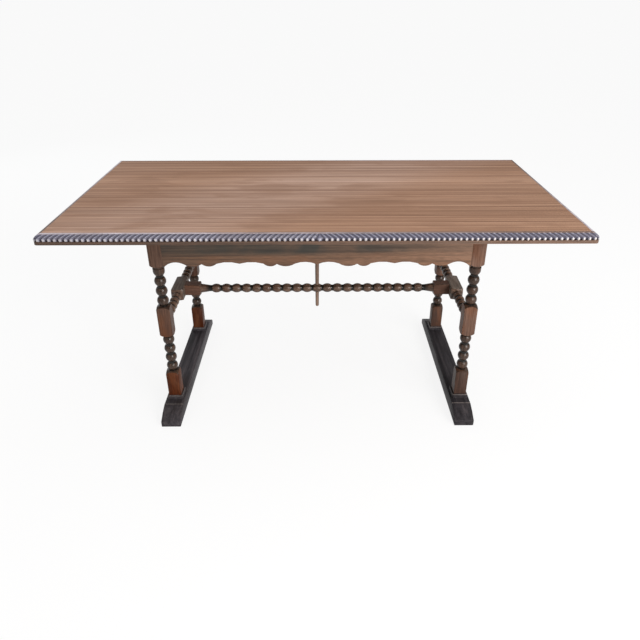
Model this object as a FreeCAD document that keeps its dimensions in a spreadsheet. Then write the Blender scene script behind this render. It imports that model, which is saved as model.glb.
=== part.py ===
import FreeCAD
import Part
import Sketcher
import os
import re

# Bobbin-turned refectory table. A boarded top with a moulded edge stands on two trestle ends, each made of
# two turned legs, a turned side stretcher and a sled foot. Shaped aprons and one long turned stretcher join
# the ends. Origin on the floor under the middle of the top, +X along the length, +Y from front to back,
# +Z up, millimetres.

# Driving sizes, each written once and kept in the document's sheet
SIZES = {
    # Whole table
    "table_height": 760,
    "top_length": 1672,
    "top_width": 880,
    "top_thickness": 31,
    # Boards and edge moulding of the top
    "board_count": 5,
    "moulding_width": 22,
    "moulding_fillet": 10,
    "ovolo_reach": 15,
    "corner_radius": 14,
    # Legs, set out by the distances between their axes
    "leg_span_x": 1062,
    "leg_span_y": 506,
    "leg_width": 45,
    "lower_block_height": 102,
    "lower_turning_height": 146,
    "mid_block_height": 119,
    "upper_turning_height": 148,
    "leg_bobbin_count": 4,
    "leg_bobbin_diameter": 40,
    "leg_neck_diameter": 26,
    "leg_shoulder_height": 14,
    "foot_tenon_diameter": 28,
    "foot_tenon_length": 40,
    # Sled feet
    "foot_width": 70,
    "foot_height": 50,
    "toe_reach": 128,
    "toe_height": 22,
    "toe_slope_length": 71,
    "toe_swell": 3,
    "plinth_width": 57,
    "plinth_height": 16,
    # Aprons and end rails
    "rail_depth": 127,
    "rail_thickness": 24,
    "wave_drop": 15,
    "spandrel_drop": 21,
    "rail_setback": 7,
    "rail_tenon_thickness": 10,
    "rail_tenon_shoulder": 14,
    "tenon_meeting_gap": 2,
    # Side stretchers
    "side_stretcher_width": 44,
    "side_block_length": 126,
    "side_bobbin_count": 5,
    "side_bobbin_diameter": 35,
    "side_neck_diameter": 23,
    "side_shoulder_height": 8,
    "side_collar_diameter": 31,
    "side_collar_length": 6,
    "side_tenon_diameter": 20,
    "side_tenon_length": 26,
    # Long stretcher
    "long_stretcher_width": 41,
    "long_block_length": 60,
    "long_bobbin_count": 23,
    "long_bobbin_diameter": 35,
    "long_neck_diameter": 24,
    "long_shoulder_height": 6,
    "long_tenon_diameter": 20,
    "long_tenon_length": 24,
    # Centre bearer and the peg that ties it to the long stretcher
    "bearer_width": 70,
    "bearer_height": 42,
    "bearer_housing": 6,
    "peg_diameter": 18,
    "peg_tip_diameter": 13,
    "peg_drop": 80,
    "peg_socket_depth": 28,
    # Wooden buttons and screws that hold the top down
    "button_length": 38,
    "button_width": 30,
    "button_thickness": 18,
    "button_lip": 9,
    "button_tongue": 8,
    "screw_diameter": 5,
    "screw_head_diameter": 10,
    "screw_head_height": 3,
    "screw_bite": 17,
    "screw_point": 5,
    # Gap all round a turned tenon, a peg or a screw
    "fit_clearance": 0.2,
}

# Lower edge of an apron from its middle to a leg: share of the half span, share of the wave's drop at that
# point, and the rise (arch) or fall (lobe) of the arc that follows, as a share of the wave's drop
LONG_WAVE_SHARES = (
    (0.000, 0.62, 0.50),
    (0.142, 0.40, -0.60),
    (0.261, 0.50, -0.60),
    (0.348, 0.40, 0.38),
    (0.503, 0.40, 0.38),
    (0.652, 0.40, -0.60),
    (0.748, 0.50, -0.60),
    (0.871, 0.40, 0.80),
)
SHORT_WAVE_SHARES = (
    (0.000, 0.62, 0.50),
    (0.300, 0.40, -0.60),
    (0.480, 0.50, -0.60),
    (0.680, 0.40, 0.80),
)
# Places of the buttons, as shares of a rail's half span
APRON_BUTTON_SHARES = (-0.75, -0.25, 0.25, 0.75)
END_BUTTON_SHARES = (-0.5, 0.5)
# Length of a bobbin as a share of its pitch, the rest being neck
BOBBIN_SHARE = 0.84
# Swell of a block's turned shoulder as a share of its height, and the reach of a cut that clears the corner
# of a square as a share of its width
SHOULDER_SWELL_SHARE = 0.28
CORNER_CLEAR_SHARE = 0.75
# Cup under a leg's top block: its rim and the collar above it, as shares of the bobbin pitch and diameter
CUP_RIM_SHARE = 0.29
COLLAR_SHARE = 0.82
# How far a rounded corner falls short of the square one along each side, as a share of its radius
ROUND_CORNER_SHARE = 0.29289322

# Places worked out from the driving sizes
UNDERSIDE = "(table_height - top_thickness)"
LEG_FOOT = "(foot_height + plinth_height)"
STRETCHER_HEIGHT = f"({LEG_FOOT} + lower_block_height + lower_turning_height + mid_block_height / 2)"
LEG_LENGTH = f"({UNDERSIDE} - {LEG_FOOT})"
TOP_BLOCK_HEIGHT = (
    f"({LEG_LENGTH} - lower_block_height - lower_turning_height - mid_block_height - upper_turning_height)"
)
APRON_SPAN = "(leg_span_x - leg_width)"
END_RAIL_SPAN = "(leg_span_y - leg_width)"
RAIL_TENON_LENGTH = "(leg_width - rail_setback - rail_tenon_thickness - tenon_meeting_gap)"
RAIL_TENON_HEIGHT = "(rail_depth - 2 * rail_tenon_shoulder)"
RAIL_FACE_X = "(leg_span_x / 2 + leg_width / 2)"
RAIL_FACE_Y = "(leg_span_y / 2 + leg_width / 2)"

doc = FreeCAD.newDocument("refectory_table")
sheet = doc.addObject("Spreadsheet::Sheet", "Sizes")
nodes = []

for row, (alias, size) in enumerate(SIZES.items(), start=1):
    sheet.set(f"A{row}", alias)
    sheet.set(f"B{row}", str(size))
    sheet.setAlias(f"B{row}", alias)
doc.recompute()


# Sizes and expressions
def sized(expression):
    """The expression with every alias, a word with an underscore, read from the sheet."""
    return re.sub(r"[a-z]+(_[a-z]+)+", r"Sizes.\g<0>", expression)


def value(expression):
    return float(sheet.evalExpression(sized(expression)))


def count(alias):
    return int(round(value(alias)))


def bind(item, name, expression):
    item.setExpression(name, sized(expression))


def place(item, spot, angle=0, axis=(0, 0, 1)):
    """Turns an item about an axis through its own origin and ties its place to the sheet."""
    turn = FreeCAD.Rotation(FreeCAD.Vector(*axis), angle)
    item.Placement = FreeCAD.Placement(FreeCAD.Vector(), turn)
    for letter, expression in zip("xyz", spot):
        bind(item, f"Placement.Base.{letter}", expression)


def bulge_radius(across, along, bulge):
    """Radius of an arc from the two legs of its chord and its bulge."""
    return f"((({across})^2 + ({along})^2) / (8 * ({bulge})) + ({bulge}) / 2)"


# Sketches and features
def new_body(label):
    item = doc.addObject("PartDesign::Body", label)
    item.Label = label
    return item


def origin_plane(item, role):
    return next(feature for feature in item.Origin.OriginFeatures if feature.Role == role)


def arc_between(start, end, side, radius):
    """Arc from start to end, bulging to the left (side 1) or right (side -1) of that way."""
    chord = end - start
    left = FreeCAD.Vector(-chord.y, chord.x, 0).normalize()
    drop = max(radius ** 2 - (chord.Length / 2) ** 2, 0) ** 0.5
    centre = (start + end) / 2 - left * (side * drop)
    middle = centre + left * (side * radius)
    return Part.ArcOfCircle(start, middle, end) if side < 0 else Part.ArcOfCircle(end, middle, start)


def outline(item, name, role, corners, lift="0"):
    """Closed sketch on an origin plane. A corner is (x, y), with a side and a radius where an arc follows."""
    drawing = item.newObject("Sketcher::SketchObject", name)
    drawing.AttachmentSupport = [(origin_plane(item, role), "")]
    drawing.MapMode = "FlatFace"
    bind(drawing, "AttachmentOffset.Base.z", lift)
    spots = [FreeCAD.Vector(value(corner[0]), value(corner[1]), 0) for corner in corners]
    ends = []
    for index, corner in enumerate(corners):
        start, end = spots[index], spots[(index + 1) % len(spots)]
        if len(corner) == 2:
            drawing.addGeometry(Part.LineSegment(start, end), False)
            ends.append((1, 2))
        else:
            drawing.addGeometry(arc_between(start, end, corner[2], value(corner[3])), False)
            ends.append((1, 2) if corner[2] < 0 else (2, 1))
    rules = []
    drives = []
    for index, corner in enumerate(corners):
        following = (index + 1) % len(corners)
        rules.append(Sketcher.Constraint("Coincident", index, ends[index][1], following, ends[following][0]))
        for kind, expression, now in (
            ("DistanceX", corner[0], spots[index].x),
            ("DistanceY", corner[1], spots[index].y),
        ):
            drives.append((len(rules), expression))
            rules.append(Sketcher.Constraint(kind, -1, 1, index, ends[index][0], now))
        if len(corner) > 2:
            drives.append((len(rules), corner[3]))
            rules.append(Sketcher.Constraint("Radius", index, value(corner[3])))
    drawing.addConstraint(rules)
    for index, expression in drives:
        bind(drawing, f"Constraints[{index}]", expression)
    return drawing


def rectangle(x_from, x_to, y_from, y_to):
    return ((x_from, y_from), (x_to, y_from), (x_to, y_to), (x_from, y_to))


def square(width, x="0", y="0"):
    half = f"({width}) / 2"
    return rectangle(f"{x} - {half}", f"{x} + {half}", f"{y} - {half}", f"{y} + {half}")


def pad(item, name, drawing, length, side_type="One side", backwards=False):
    feature = item.newObject("PartDesign::Pad", name)
    feature.Profile = drawing
    feature.SideType = side_type
    feature.Reversed = backwards
    bind(feature, "Length", length)
    return feature


def pocket(item, name, drawing, depth, side_type="One side"):
    feature = item.newObject("PartDesign::Pocket", name)
    feature.Profile = drawing
    feature.SideType = side_type
    bind(feature, "Length", depth)
    return feature


def turn_about_height(item, kind, name, drawing):
    """A revolved feature about the upright axis of its sketch."""
    feature = item.newObject(f"PartDesign::{kind}", name)
    feature.Profile = drawing
    feature.ReferenceAxis = (drawing, ["V_Axis"])
    feature.Angle = 360
    return feature


# Blanks, cutters for joints, and the finished nodes
def tied_box(name, extents, centre):
    item = doc.addObject("Part::Box", name)
    for side, extent in zip(("Length", "Width", "Height"), extents):
        bind(item, side, extent)
    place(item, [f"{middle} - ({extent}) / 2" for middle, extent in zip(centre, extents)])
    return item


def bore_cutter(name, diameter, depth, mouth, angle=0, axis=(0, 0, 1)):
    """Round cutter that runs from its mouth along +Z, turned by the angle about the axis."""
    item = doc.addObject("Part::Cylinder", name)
    bind(item, "Radius", f"({diameter}) / 2 + fit_clearance")
    bind(item, "Height", depth)
    place(item, mouth, angle, axis)
    return item


def finish(label, base, cutters):
    """The node: a blank with its joints cut out."""
    tools = doc.addObject("Part::Compound", f"{label}_cutters")
    tools.Links = cutters
    item = doc.addObject("Part::Cut", label)
    item.Base = base
    item.Tool = tools
    item.Label = label
    nodes.append(item)
    return item


def gather(label, items):
    """One node of several like solids."""
    item = doc.addObject("Part::Compound", label)
    item.Links = items
    item.Label = label
    nodes.append(item)
    return item


# Turned work
def bobbin_corners(start, length, how_many, ball, neck, ends):
    """Profile of a run of bobbins, as radius and height. A cup leaves the last one open at its rim, and in a
    flared run the first and the last one widen straight to the blocks."""
    pitch = f"(({length}) / {how_many})"
    reach = f"({pitch} * {BOBBIN_SHARE / 2})"
    swell = f"(({ball} - {neck}) / 2)"
    radius = bulge_radius(f"2 * {reach}", "0", swell)
    corners = []
    for index in range(how_many):
        middle = f"{start} + {pitch} * {index + 0.5}"
        widens_down = ends == "flared" and index == 0
        widens_up = ends == "flared" and index == how_many - 1
        if widens_up:
            corners.append((f"{neck} / 2", f"{middle} - {reach}"))
        elif not widens_down:
            corners.append((f"{neck} / 2", f"{middle} - {reach}", -1, radius))
        if ends == "cup" and index == how_many - 1:
            rim = f"{middle} + {pitch} * {CUP_RIM_SHARE}"
            collar = f"{ball} / 2 * {COLLAR_SHARE}"
            corners.append((f"{ball} / 2", middle))
            corners.append((f"{ball} / 2", rim))
            corners.append((collar, rim))
        elif not widens_up:
            corners.append((f"{neck} / 2", f"{middle} + {reach}"))
    return corners


def turning_outline(width, start, run):
    """What the lathe takes off a square billet along a run of bobbins, with rounded block shoulders."""
    clear = f"({width} * {CORNER_CLEAR_SHARE})"
    shoulder = run["shoulder"]
    swell = f"({shoulder} * {SHOULDER_SWELL_SHARE})"
    finish_height = f"{start} + {run['length']}"
    first = f"{run['neck']} / 2"
    last = first
    if run["ends"] == "flared":
        first = f"{run['ball']} / 2"
        last = first
    if run["ends"] == "cup":
        last = f"{run['ball']} / 2 * {COLLAR_SHARE}"
    corners = [(clear, start), (first, start)]
    if "lower" in run["blocks"]:
        radius = bulge_radius(f"{clear} - {first}", shoulder, swell)
        corners[0] = (clear, f"{start} - {shoulder}", -1, radius)
    corners += bobbin_corners(start, run["length"], run["count"], run["ball"], run["neck"], run["ends"])
    if "upper" in run["blocks"]:
        radius = bulge_radius(f"{clear} - {last}", shoulder, swell)
        corners += [(last, finish_height, -1, radius), (clear, f"{finish_height} + {shoulder}")]
    else:
        corners += [(last, finish_height), (clear, finish_height)]
    return corners


def bobbin_run(family, length, blocks=("lower", "upper"), ends="plain"):
    """A segment of bobbins sized by one family of the sheet, between the blocks named."""
    return dict(kind="bobbins", length=length, count=count(f"{family}_bobbin_count"),
                ball=f"{family}_bobbin_diameter", neck=f"{family}_neck_diameter",
                shoulder=f"{family}_shoulder_height", blocks=blocks, ends=ends)


def round_run(length, diameter):
    """A segment turned to a plain round, for a tenon or a collar."""
    return dict(kind="round", length=length, diameter=diameter)


def square_run(length):
    """A segment left square."""
    return dict(kind="block", length=length)


def turned_billet(label, width, segments):
    """A square billet, upright from its own origin, turned to tenons and bobbins where its segments say."""
    item = new_body(label)
    total = " + ".join(segment["length"] for segment in segments)
    pad(item, f"{label}_billet", outline(item, f"{label}_square", "XY_Plane", square(width)), total)
    start = "0"
    for index, segment in enumerate(segments):
        end = f"{start} + {segment['length']}"
        name = f"{label}_{segment['kind']}_{index}"
        corners = None
        if segment["kind"] == "round":
            clear = f"{width} * {CORNER_CLEAR_SHARE}"
            corners = rectangle(f"{segment['diameter']} / 2", clear, start, end)
        if segment["kind"] == "bobbins":
            corners = turning_outline(width, start, segment)
        if corners:
            drawing = outline(item, f"{name}_profile", "XZ_Plane", corners)
            turn_about_height(item, "Groove", name, drawing)
        start = end
    return item


# Top
def build_boards(pilots):
    board_width = f"((top_width - 2 * moulding_width) / {count('board_count')})"
    for index in range(count("board_count")):
        label = f"top_board_{index + 1}"
        middle = f"(-top_width / 2 + moulding_width + {board_width} * {index + 0.5})"
        extents = ("top_length - 2 * moulding_width", board_width, "top_thickness")
        blank = tied_box(f"{label}_blank", extents, ("0", middle, f"{UNDERSIDE} + top_thickness / 2"))
        finish(label, blank, pilots)


def build_moulding(label, length, reach, angle):
    """One mitred strip of the edge, drawn as the front one: a fillet under an ovolo, with rounded tips."""
    item = new_body(label)
    tip = f"corner_radius * {ROUND_CORNER_SHARE}"
    inner = f"({length}) / 2 - moulding_width"
    edge = f"-({reach})"
    plan = (
        (f"-({inner})", f"{edge} + moulding_width"),
        (f"-({length}) / 2 + {tip}", f"{edge} + {tip}", -1, "corner_radius"),
        (f"-({length}) / 2 + corner_radius", edge),
        (f"({length}) / 2 - corner_radius", edge, -1, "corner_radius"),
        (f"({length}) / 2 - {tip}", f"{edge} + {tip}"),
        (inner, f"{edge} + moulding_width"),
    )
    pad(item, f"{label}_strip", outline(item, f"{label}_plan", "XY_Plane", plan), "top_thickness")
    rise = "(top_thickness - moulding_fillet)"
    radius = f"((ovolo_reach^2 + {rise}^2) / (2 * min(ovolo_reach; {rise})))"
    waste = (
        (edge, "moulding_fillet", 1, radius),
        (f"{edge} + ovolo_reach", "top_thickness"),
        (edge, "top_thickness"),
    )
    drawing = outline(item, f"{label}_ovolo_waste", "YZ_Plane", waste)
    pocket(item, f"{label}_ovolo", drawing, length, "Symmetric")
    place(item, ("0", "0", UNDERSIDE), angle)
    nodes.append(item)


# Frame
def wave_corners(shares, half_span):
    """Lower edge of a rail from its left end to its right end."""
    right = []
    bulge_shares = []
    for along_share, drop_share, bulge_share in shares:
        right.append((f"{half_span} * {along_share}", f"-rail_depth - wave_drop * {drop_share}"))
        bulge_shares.append(bulge_share)
    end = (half_span, "-rail_depth - spandrel_drop")
    right.append(end)
    left = [(f"-({x})", y) for x, y in right[:0:-1]]
    chain = left + right
    corners = []
    for index, bulge_share in enumerate(bulge_shares[::-1] + bulge_shares):
        (x, y), (next_x, next_y) = chain[index], chain[index + 1]
        side = 1 if bulge_share > 0 else -1
        radius = bulge_radius(f"{next_x} - ({x})", f"{next_y} - ({y})", f"wave_drop * {abs(bulge_share)}")
        corners.append((x, y, side, radius))
    corners.append(end)
    return corners


def build_rail(label, span, shares, spot, angle, button_shares, bearer):
    """A shaped rail, drawn with its outer face on the XZ plane, its top at zero and its inside towards +Y."""
    item = new_body(label)
    half_span = f"({span} / 2)"
    corners = wave_corners(shares, half_span) + [(half_span, "0"), (f"-({half_span})", "0")]
    pad(item, f"{label}_board", outline(item, f"{label}_shape", "XZ_Plane", corners), "rail_thickness",
        backwards=True)
    reach = f"({half_span} + {RAIL_TENON_LENGTH})"
    tenons = rectangle(f"-({reach})", reach, "rail_tenon_shoulder - rail_depth", "-rail_tenon_shoulder")
    drawing = outline(item, f"{label}_tenon_shape", "XZ_Plane", tenons, "-rail_setback")
    pad(item, f"{label}_tenons", drawing, "rail_tenon_thickness", backwards=True)
    for index, share in enumerate(button_shares):
        middle = f"{half_span} * ({share})"
        slot = rectangle(f"{middle} - button_width / 2", f"{middle} + button_width / 2",
                         "-button_thickness", "-button_lip")
        drawing = outline(item, f"{label}_slot_shape_{index}", "XZ_Plane", slot,
                          "button_tongue - rail_thickness")
        pocket(item, f"{label}_slot_{index}", drawing, "button_tongue")
    if bearer:
        housing = rectangle("-bearer_width / 2", "bearer_width / 2", "-bearer_height", "0")
        drawing = outline(item, f"{label}_housing_shape", "XZ_Plane", housing,
                          "bearer_housing - rail_thickness")
        pocket(item, f"{label}_housing", drawing, "bearer_housing")
    place(item, spot, angle)
    nodes.append(item)


def build_leg(label, side_x, side_y):
    """A turned leg, with mortises towards its two rails and a bore towards its side stretcher."""
    blank = turned_billet(f"{label}_turning", "leg_width", (
        round_run("foot_tenon_length", "foot_tenon_diameter"),
        square_run("lower_block_height"),
        bobbin_run("leg", "lower_turning_height"),
        square_run("mid_block_height"),
        bobbin_run("leg", "upper_turning_height", ends="cup"),
        square_run(TOP_BLOCK_HEIGHT),
    ))
    axis_x, axis_y = f"{side_x} * leg_span_x / 2", f"{side_y} * leg_span_y / 2"
    place(blank, (axis_x, axis_y, f"{LEG_FOOT} - foot_tenon_length"))
    depth = f"({RAIL_TENON_LENGTH} - leg_width) / 2"
    beside = "(leg_width / 2 - rail_setback - rail_tenon_thickness / 2)"
    height = f"{UNDERSIDE} - rail_depth / 2"
    apron_mortise = tied_box(
        f"{label}_apron_mortise", (RAIL_TENON_LENGTH, "rail_tenon_thickness", RAIL_TENON_HEIGHT),
        (f"{axis_x} + {side_x} * {depth}", f"{axis_y} + {side_y} * {beside}", height))
    end_mortise = tied_box(
        f"{label}_end_mortise", ("rail_tenon_thickness", RAIL_TENON_LENGTH, RAIL_TENON_HEIGHT),
        (f"{axis_x} + {side_x} * {beside}", f"{axis_y} + {side_y} * {depth}", height))
    mouth = (axis_x, f"{axis_y} - {side_y} * leg_width / 2", STRETCHER_HEIGHT)
    stretcher_bore = bore_cutter(f"{label}_stretcher_bore", "side_tenon_diameter", "side_tenon_length", mouth,
                                 -90 * side_y, (1, 0, 0))
    finish(label, blank, [apron_mortise, end_mortise, stretcher_bore])


def build_foot(label, side_x):
    """A sled foot with sloped toes and a raised plinth under each leg."""
    item = new_body(f"{label}_shape")
    half = "(leg_span_y / 2 + toe_reach)"
    slope = bulge_radius("toe_slope_length", "foot_height - toe_height", "toe_swell")
    profile = (
        (f"-{half}", "0"),
        (half, "0"),
        (half, "toe_height", -1, slope),
        (f"{half} - toe_slope_length", "foot_height"),
        (f"-{half} + toe_slope_length", "foot_height", -1, slope),
        (f"-{half}", "toe_height"),
    )
    drawing = outline(item, f"{label}_profile", "YZ_Plane", profile)
    pad(item, f"{label}_sled", drawing, "foot_width", "Symmetric")
    bores = []
    for name, side_y in (("front", -1), ("rear", 1)):
        leg_axis = f"{side_y} * leg_span_y / 2"
        plan = square("plinth_width", "0", leg_axis)
        drawing = outline(item, f"{label}_{name}_plinth_plan", "XY_Plane", plan, "foot_height")
        pad(item, f"{label}_{name}_plinth", drawing, "plinth_height")
        mouth = (f"{side_x} * leg_span_x / 2", leg_axis, f"{LEG_FOOT} - foot_tenon_length")
        bores.append(bore_cutter(f"{label}_{name}_bore", "foot_tenon_diameter", "foot_tenon_length", mouth))
    place(item, (f"{side_x} * leg_span_x / 2", "0", "0"))
    finish(label, item, bores)


def build_side_stretcher(label, side_x):
    """Stretcher from front leg to rear leg, with a square block at its middle."""
    turning = "((leg_span_y - leg_width - side_block_length) / 2 - side_collar_length)"
    tenon = round_run("side_tenon_length", "side_tenon_diameter")
    collar = round_run("side_collar_length", "side_collar_diameter")
    blank = turned_billet(f"{label}_turning", "side_stretcher_width", (
        tenon,
        collar,
        bobbin_run("side", turning, blocks=("upper",)),
        square_run("side_block_length"),
        bobbin_run("side", turning, blocks=("lower",)),
        collar,
        tenon,
    ))
    axis_x = f"{side_x} * leg_span_x / 2"
    start = "-(leg_span_y - leg_width) / 2 - side_tenon_length"
    place(blank, (axis_x, start, STRETCHER_HEIGHT), -90, (1, 0, 0))
    mouth = (f"{axis_x} - {side_x} * side_stretcher_width / 2", "0", STRETCHER_HEIGHT)
    finish(label, blank, [bore_cutter(f"{label}_long_bore", "long_tenon_diameter", "long_tenon_length", mouth,
                                      90 * side_x, (0, 1, 0))])


def build_long_stretcher():
    """Stretcher between the blocks of the two side stretchers, bored at its middle bobbin for the peg."""
    between = "(leg_span_x - side_stretcher_width)"
    tenon = round_run("long_tenon_length", "long_tenon_diameter")
    block = square_run("long_block_length")
    bobbins = bobbin_run("long", f"({between} - 2 * long_block_length)", ends="flared")
    segments = (tenon, block, bobbins, block, tenon)
    blank = turned_billet("long_stretcher_turning", "long_stretcher_width", segments)
    place(blank, (f"-{between} / 2 - long_tenon_length", "0", STRETCHER_HEIGHT), 90, (0, 1, 0))
    mouth = ("0", "0", f"{STRETCHER_HEIGHT} - long_stretcher_width / 2")
    passage = bore_cutter("long_stretcher_peg_bore", PEG_AT_STRETCHER, "long_stretcher_width", mouth)
    finish("long_stretcher", blank, [passage])


PEG_TAPER_FOOT = f"({STRETCHER_HEIGHT} - peg_drop + peg_tip_diameter / 2)"
PEG_TAPER_HEAD = f"({UNDERSIDE} - bearer_height)"
PEG_RISE = f"({STRETCHER_HEIGHT} + long_bobbin_diameter / 2 - {PEG_TAPER_FOOT})"
PEG_RISE_SHARE = f"({PEG_RISE} / ({PEG_TAPER_HEAD} - {PEG_TAPER_FOOT}))"
PEG_AT_STRETCHER = f"(peg_tip_diameter + (peg_diameter - peg_tip_diameter) * {PEG_RISE_SHARE})"


def build_bearer_and_peg():
    """Cross bearer under the top, and the tapered peg that hangs from it through the long stretcher."""
    length = "leg_span_y + leg_width - 2 * rail_thickness + 2 * bearer_housing"
    blank = tied_box("centre_bearer_blank", ("bearer_width", length, "bearer_height"),
                       ("0", "0", f"{UNDERSIDE} - bearer_height / 2"))
    mouth = ("0", "0", PEG_TAPER_HEAD)
    socket = bore_cutter("centre_bearer_socket", "peg_diameter", "peg_socket_depth", mouth)
    finish("centre_bearer", blank, [socket])
    item = new_body("centre_peg")
    tip = f"{STRETCHER_HEIGHT} - peg_drop"
    radius = "peg_tip_diameter / 2"
    corners = (
        ("0", tip, -1, radius),
        (radius, PEG_TAPER_FOOT),
        ("peg_diameter / 2", PEG_TAPER_HEAD),
        ("peg_diameter / 2", f"{PEG_TAPER_HEAD} + peg_socket_depth"),
        ("0", f"{PEG_TAPER_HEAD} + peg_socket_depth"),
    )
    drawing = outline(item, "peg_profile", "XZ_Plane", corners)
    turn_about_height(item, "Revolution", "centre_peg_turning", drawing)
    nodes.append(item)


# Buttons and screws
def button_places():
    """Place and turn of each button's screw axis: along both aprons, then along both end rails."""
    inset_y = f"({RAIL_FACE_Y} - rail_thickness - button_length / 2)"
    inset_x = f"({RAIL_FACE_X} - rail_thickness - button_length / 2)"
    places = []
    for share in APRON_BUTTON_SHARES:
        along = f"{APRON_SPAN} / 2 * ({share})"
        places.append((along, f"-{inset_y}", 0))
        places.append((along, inset_y, 180))
    for share in END_BUTTON_SHARES:
        along = f"{END_RAIL_SPAN} / 2 * ({share})"
        places.append((f"-{inset_x}", along, -90))
        places.append((inset_x, along, 90))
    return places


def build_buttons_and_screws():
    """Returns the pilot bores that the screws need in the boards."""
    buttons = []
    screws = []
    pilots = []
    head = "screw_head_diameter / 2"
    shank = "screw_diameter / 2"
    face = "-button_thickness"
    for index, (x, y, angle) in enumerate(button_places()):
        spot = (x, y, UNDERSIDE)
        button = new_body(f"button_{index}")
        back = "-button_length / 2"
        side = (
            (f"{back} - button_tongue", face),
            ("button_length / 2", face),
            ("button_length / 2", "0"),
            (back, "0"),
            (back, "-button_lip"),
            (f"{back} - button_tongue", "-button_lip"),
        )
        drawing = outline(button, f"button_side_{index}", "YZ_Plane", side)
        pad(button, f"button_block_{index}", drawing, "button_width", "Symmetric")
        bore = (
            ("0", face),
            (f"{head} + fit_clearance", face),
            (f"{shank} + fit_clearance", f"{face} + screw_head_height"),
            (f"{shank} + fit_clearance", "0"),
            ("0", "0"),
        )
        drawing = outline(button, f"button_bore_shape_{index}", "XZ_Plane", bore)
        turn_about_height(button, "Groove", f"button_bore_{index}", drawing)
        place(button, spot, angle)
        buttons.append(button)
        screw = new_body(f"screw_{index}")
        profile = (
            ("0", face),
            (head, face),
            (shank, f"{face} + screw_head_height"),
            (shank, "screw_bite - screw_point"),
            ("0", "screw_bite"),
        )
        drawing = outline(screw, f"screw_profile_{index}", "XZ_Plane", profile)
        turn_about_height(screw, "Revolution", f"screw_turning_{index}", drawing)
        place(screw, spot)
        screws.append(screw)
        pilots.append(bore_cutter(f"pilot_{index}", "screw_diameter", "screw_bite", spot))
    gather("top_buttons", buttons)
    gather("button_screws", screws)
    return pilots


# The table
build_boards(build_buttons_and_screws())
build_moulding("edge_moulding_front", "top_length", "top_width / 2", 0)
build_moulding("edge_moulding_right", "top_width", "top_length / 2", 90)
build_moulding("edge_moulding_rear", "top_length", "top_width / 2", 180)
build_moulding("edge_moulding_left", "top_width", "top_length / 2", -90)
build_rail("front_apron", APRON_SPAN, LONG_WAVE_SHARES, ("0", f"-{RAIL_FACE_Y}", UNDERSIDE), 0,
           APRON_BUTTON_SHARES, True)
build_rail("rear_apron", APRON_SPAN, LONG_WAVE_SHARES, ("0", RAIL_FACE_Y, UNDERSIDE), 180,
           APRON_BUTTON_SHARES, True)
build_rail("left_end_rail", END_RAIL_SPAN, SHORT_WAVE_SHARES, (f"-{RAIL_FACE_X}", "0", UNDERSIDE), -90,
           END_BUTTON_SHARES, False)
build_rail("right_end_rail", END_RAIL_SPAN, SHORT_WAVE_SHARES, (RAIL_FACE_X, "0", UNDERSIDE), 90,
           END_BUTTON_SHARES, False)
for hand, side_x in (("left", -1), ("right", 1)):
    for depth_name, side_y in (("front", -1), ("rear", 1)):
        build_leg(f"leg_{depth_name}_{hand}", side_x, side_y)
    build_foot(f"foot_{hand}", side_x)
    build_side_stretcher(f"side_stretcher_{hand}", side_x)
build_long_stretcher()
build_bearer_and_peg()

# Every feature has to be sound before anything is written
doc.recompute()
for item in doc.Objects:
    if "Invalid" in item.State or "Error" in item.State:
        raise RuntimeError(f"{item.Label} failed: {item.State}")
for node in nodes:
    if node.Shape.isNull() or not node.Shape.isValid() or not node.Shape.Solids:
        raise RuntimeError(f"{node.Label} has no sound shape")

os.makedirs("parts", exist_ok=True)
for node in nodes:
    node.Shape.exportStep(f"parts/{node.Label}.step")
    print(node.Label, len(node.Shape.Solids), round(node.Shape.Volume))
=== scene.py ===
"""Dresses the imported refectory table: carved edge, bobbin turnings, shaped aprons and old polished wood."""

import logging
import math
from collections.abc import Callable
from dataclasses import dataclass, field, replace
from enum import Enum, Flag
from itertools import accumulate

import bmesh
import bpy
from bmesh.types import BMEdge, BMesh, BMFace, BMVert
from bpy.types import Material, NodeSocket
from mathutils import Matrix, Vector


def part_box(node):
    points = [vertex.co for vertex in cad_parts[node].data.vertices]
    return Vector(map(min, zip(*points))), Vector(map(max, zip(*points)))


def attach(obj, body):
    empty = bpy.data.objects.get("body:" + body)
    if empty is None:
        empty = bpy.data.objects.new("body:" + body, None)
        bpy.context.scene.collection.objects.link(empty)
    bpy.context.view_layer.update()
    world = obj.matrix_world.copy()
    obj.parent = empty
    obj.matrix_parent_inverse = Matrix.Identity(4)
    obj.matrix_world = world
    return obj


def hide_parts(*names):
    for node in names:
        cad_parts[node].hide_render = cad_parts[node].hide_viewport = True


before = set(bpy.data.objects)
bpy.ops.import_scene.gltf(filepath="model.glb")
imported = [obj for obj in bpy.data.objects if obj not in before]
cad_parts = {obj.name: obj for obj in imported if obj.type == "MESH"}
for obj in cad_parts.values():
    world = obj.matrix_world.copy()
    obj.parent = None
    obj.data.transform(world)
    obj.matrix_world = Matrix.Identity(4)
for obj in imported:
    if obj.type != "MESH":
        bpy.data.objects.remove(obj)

Colour = tuple[float, float, float]
Place = tuple[float, float, float]
Wave = tuple[float, float, float]

LOG = logging.getLogger("refectory_table")
BODY = "root"
# Share from 0 where grime and painted shade darken a hollow to 1 on a clean, lit ridge
CLEAN_AND_LIT = "clean_and_lit"
# Share of painted light (highlights, sheen and light from one side) and of wear
PAINTED_LIGHT_AND_WEAR = "worn"
HALF_LIGHT_AND_WEAR = 0.5
HANDS = ("left", "right")
MERGE_DISTANCE = 1e-6
SMOOTH_ANGLE = math.radians(38)
SHARP_ANGLE = math.radians(55)
ARC_STEP = math.radians(13)
QUARTER_TURN = math.pi / 2
FLAT_NORMAL = 0.999
SAME_WAY = 0.99
SPIN_STEPS = 48
PHOTO_PIXELS = 640


class Grain(Enum):
    """The way the fibres of a piece run in the shared frame."""

    LENGTH = 0
    DEPTH = 1
    HEIGHT = 2


class Shoulders(Flag):
    """The ends of a square block that the lathe has rounded."""

    LOWER = 1
    UPPER = 2
    BOTH = 3


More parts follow.
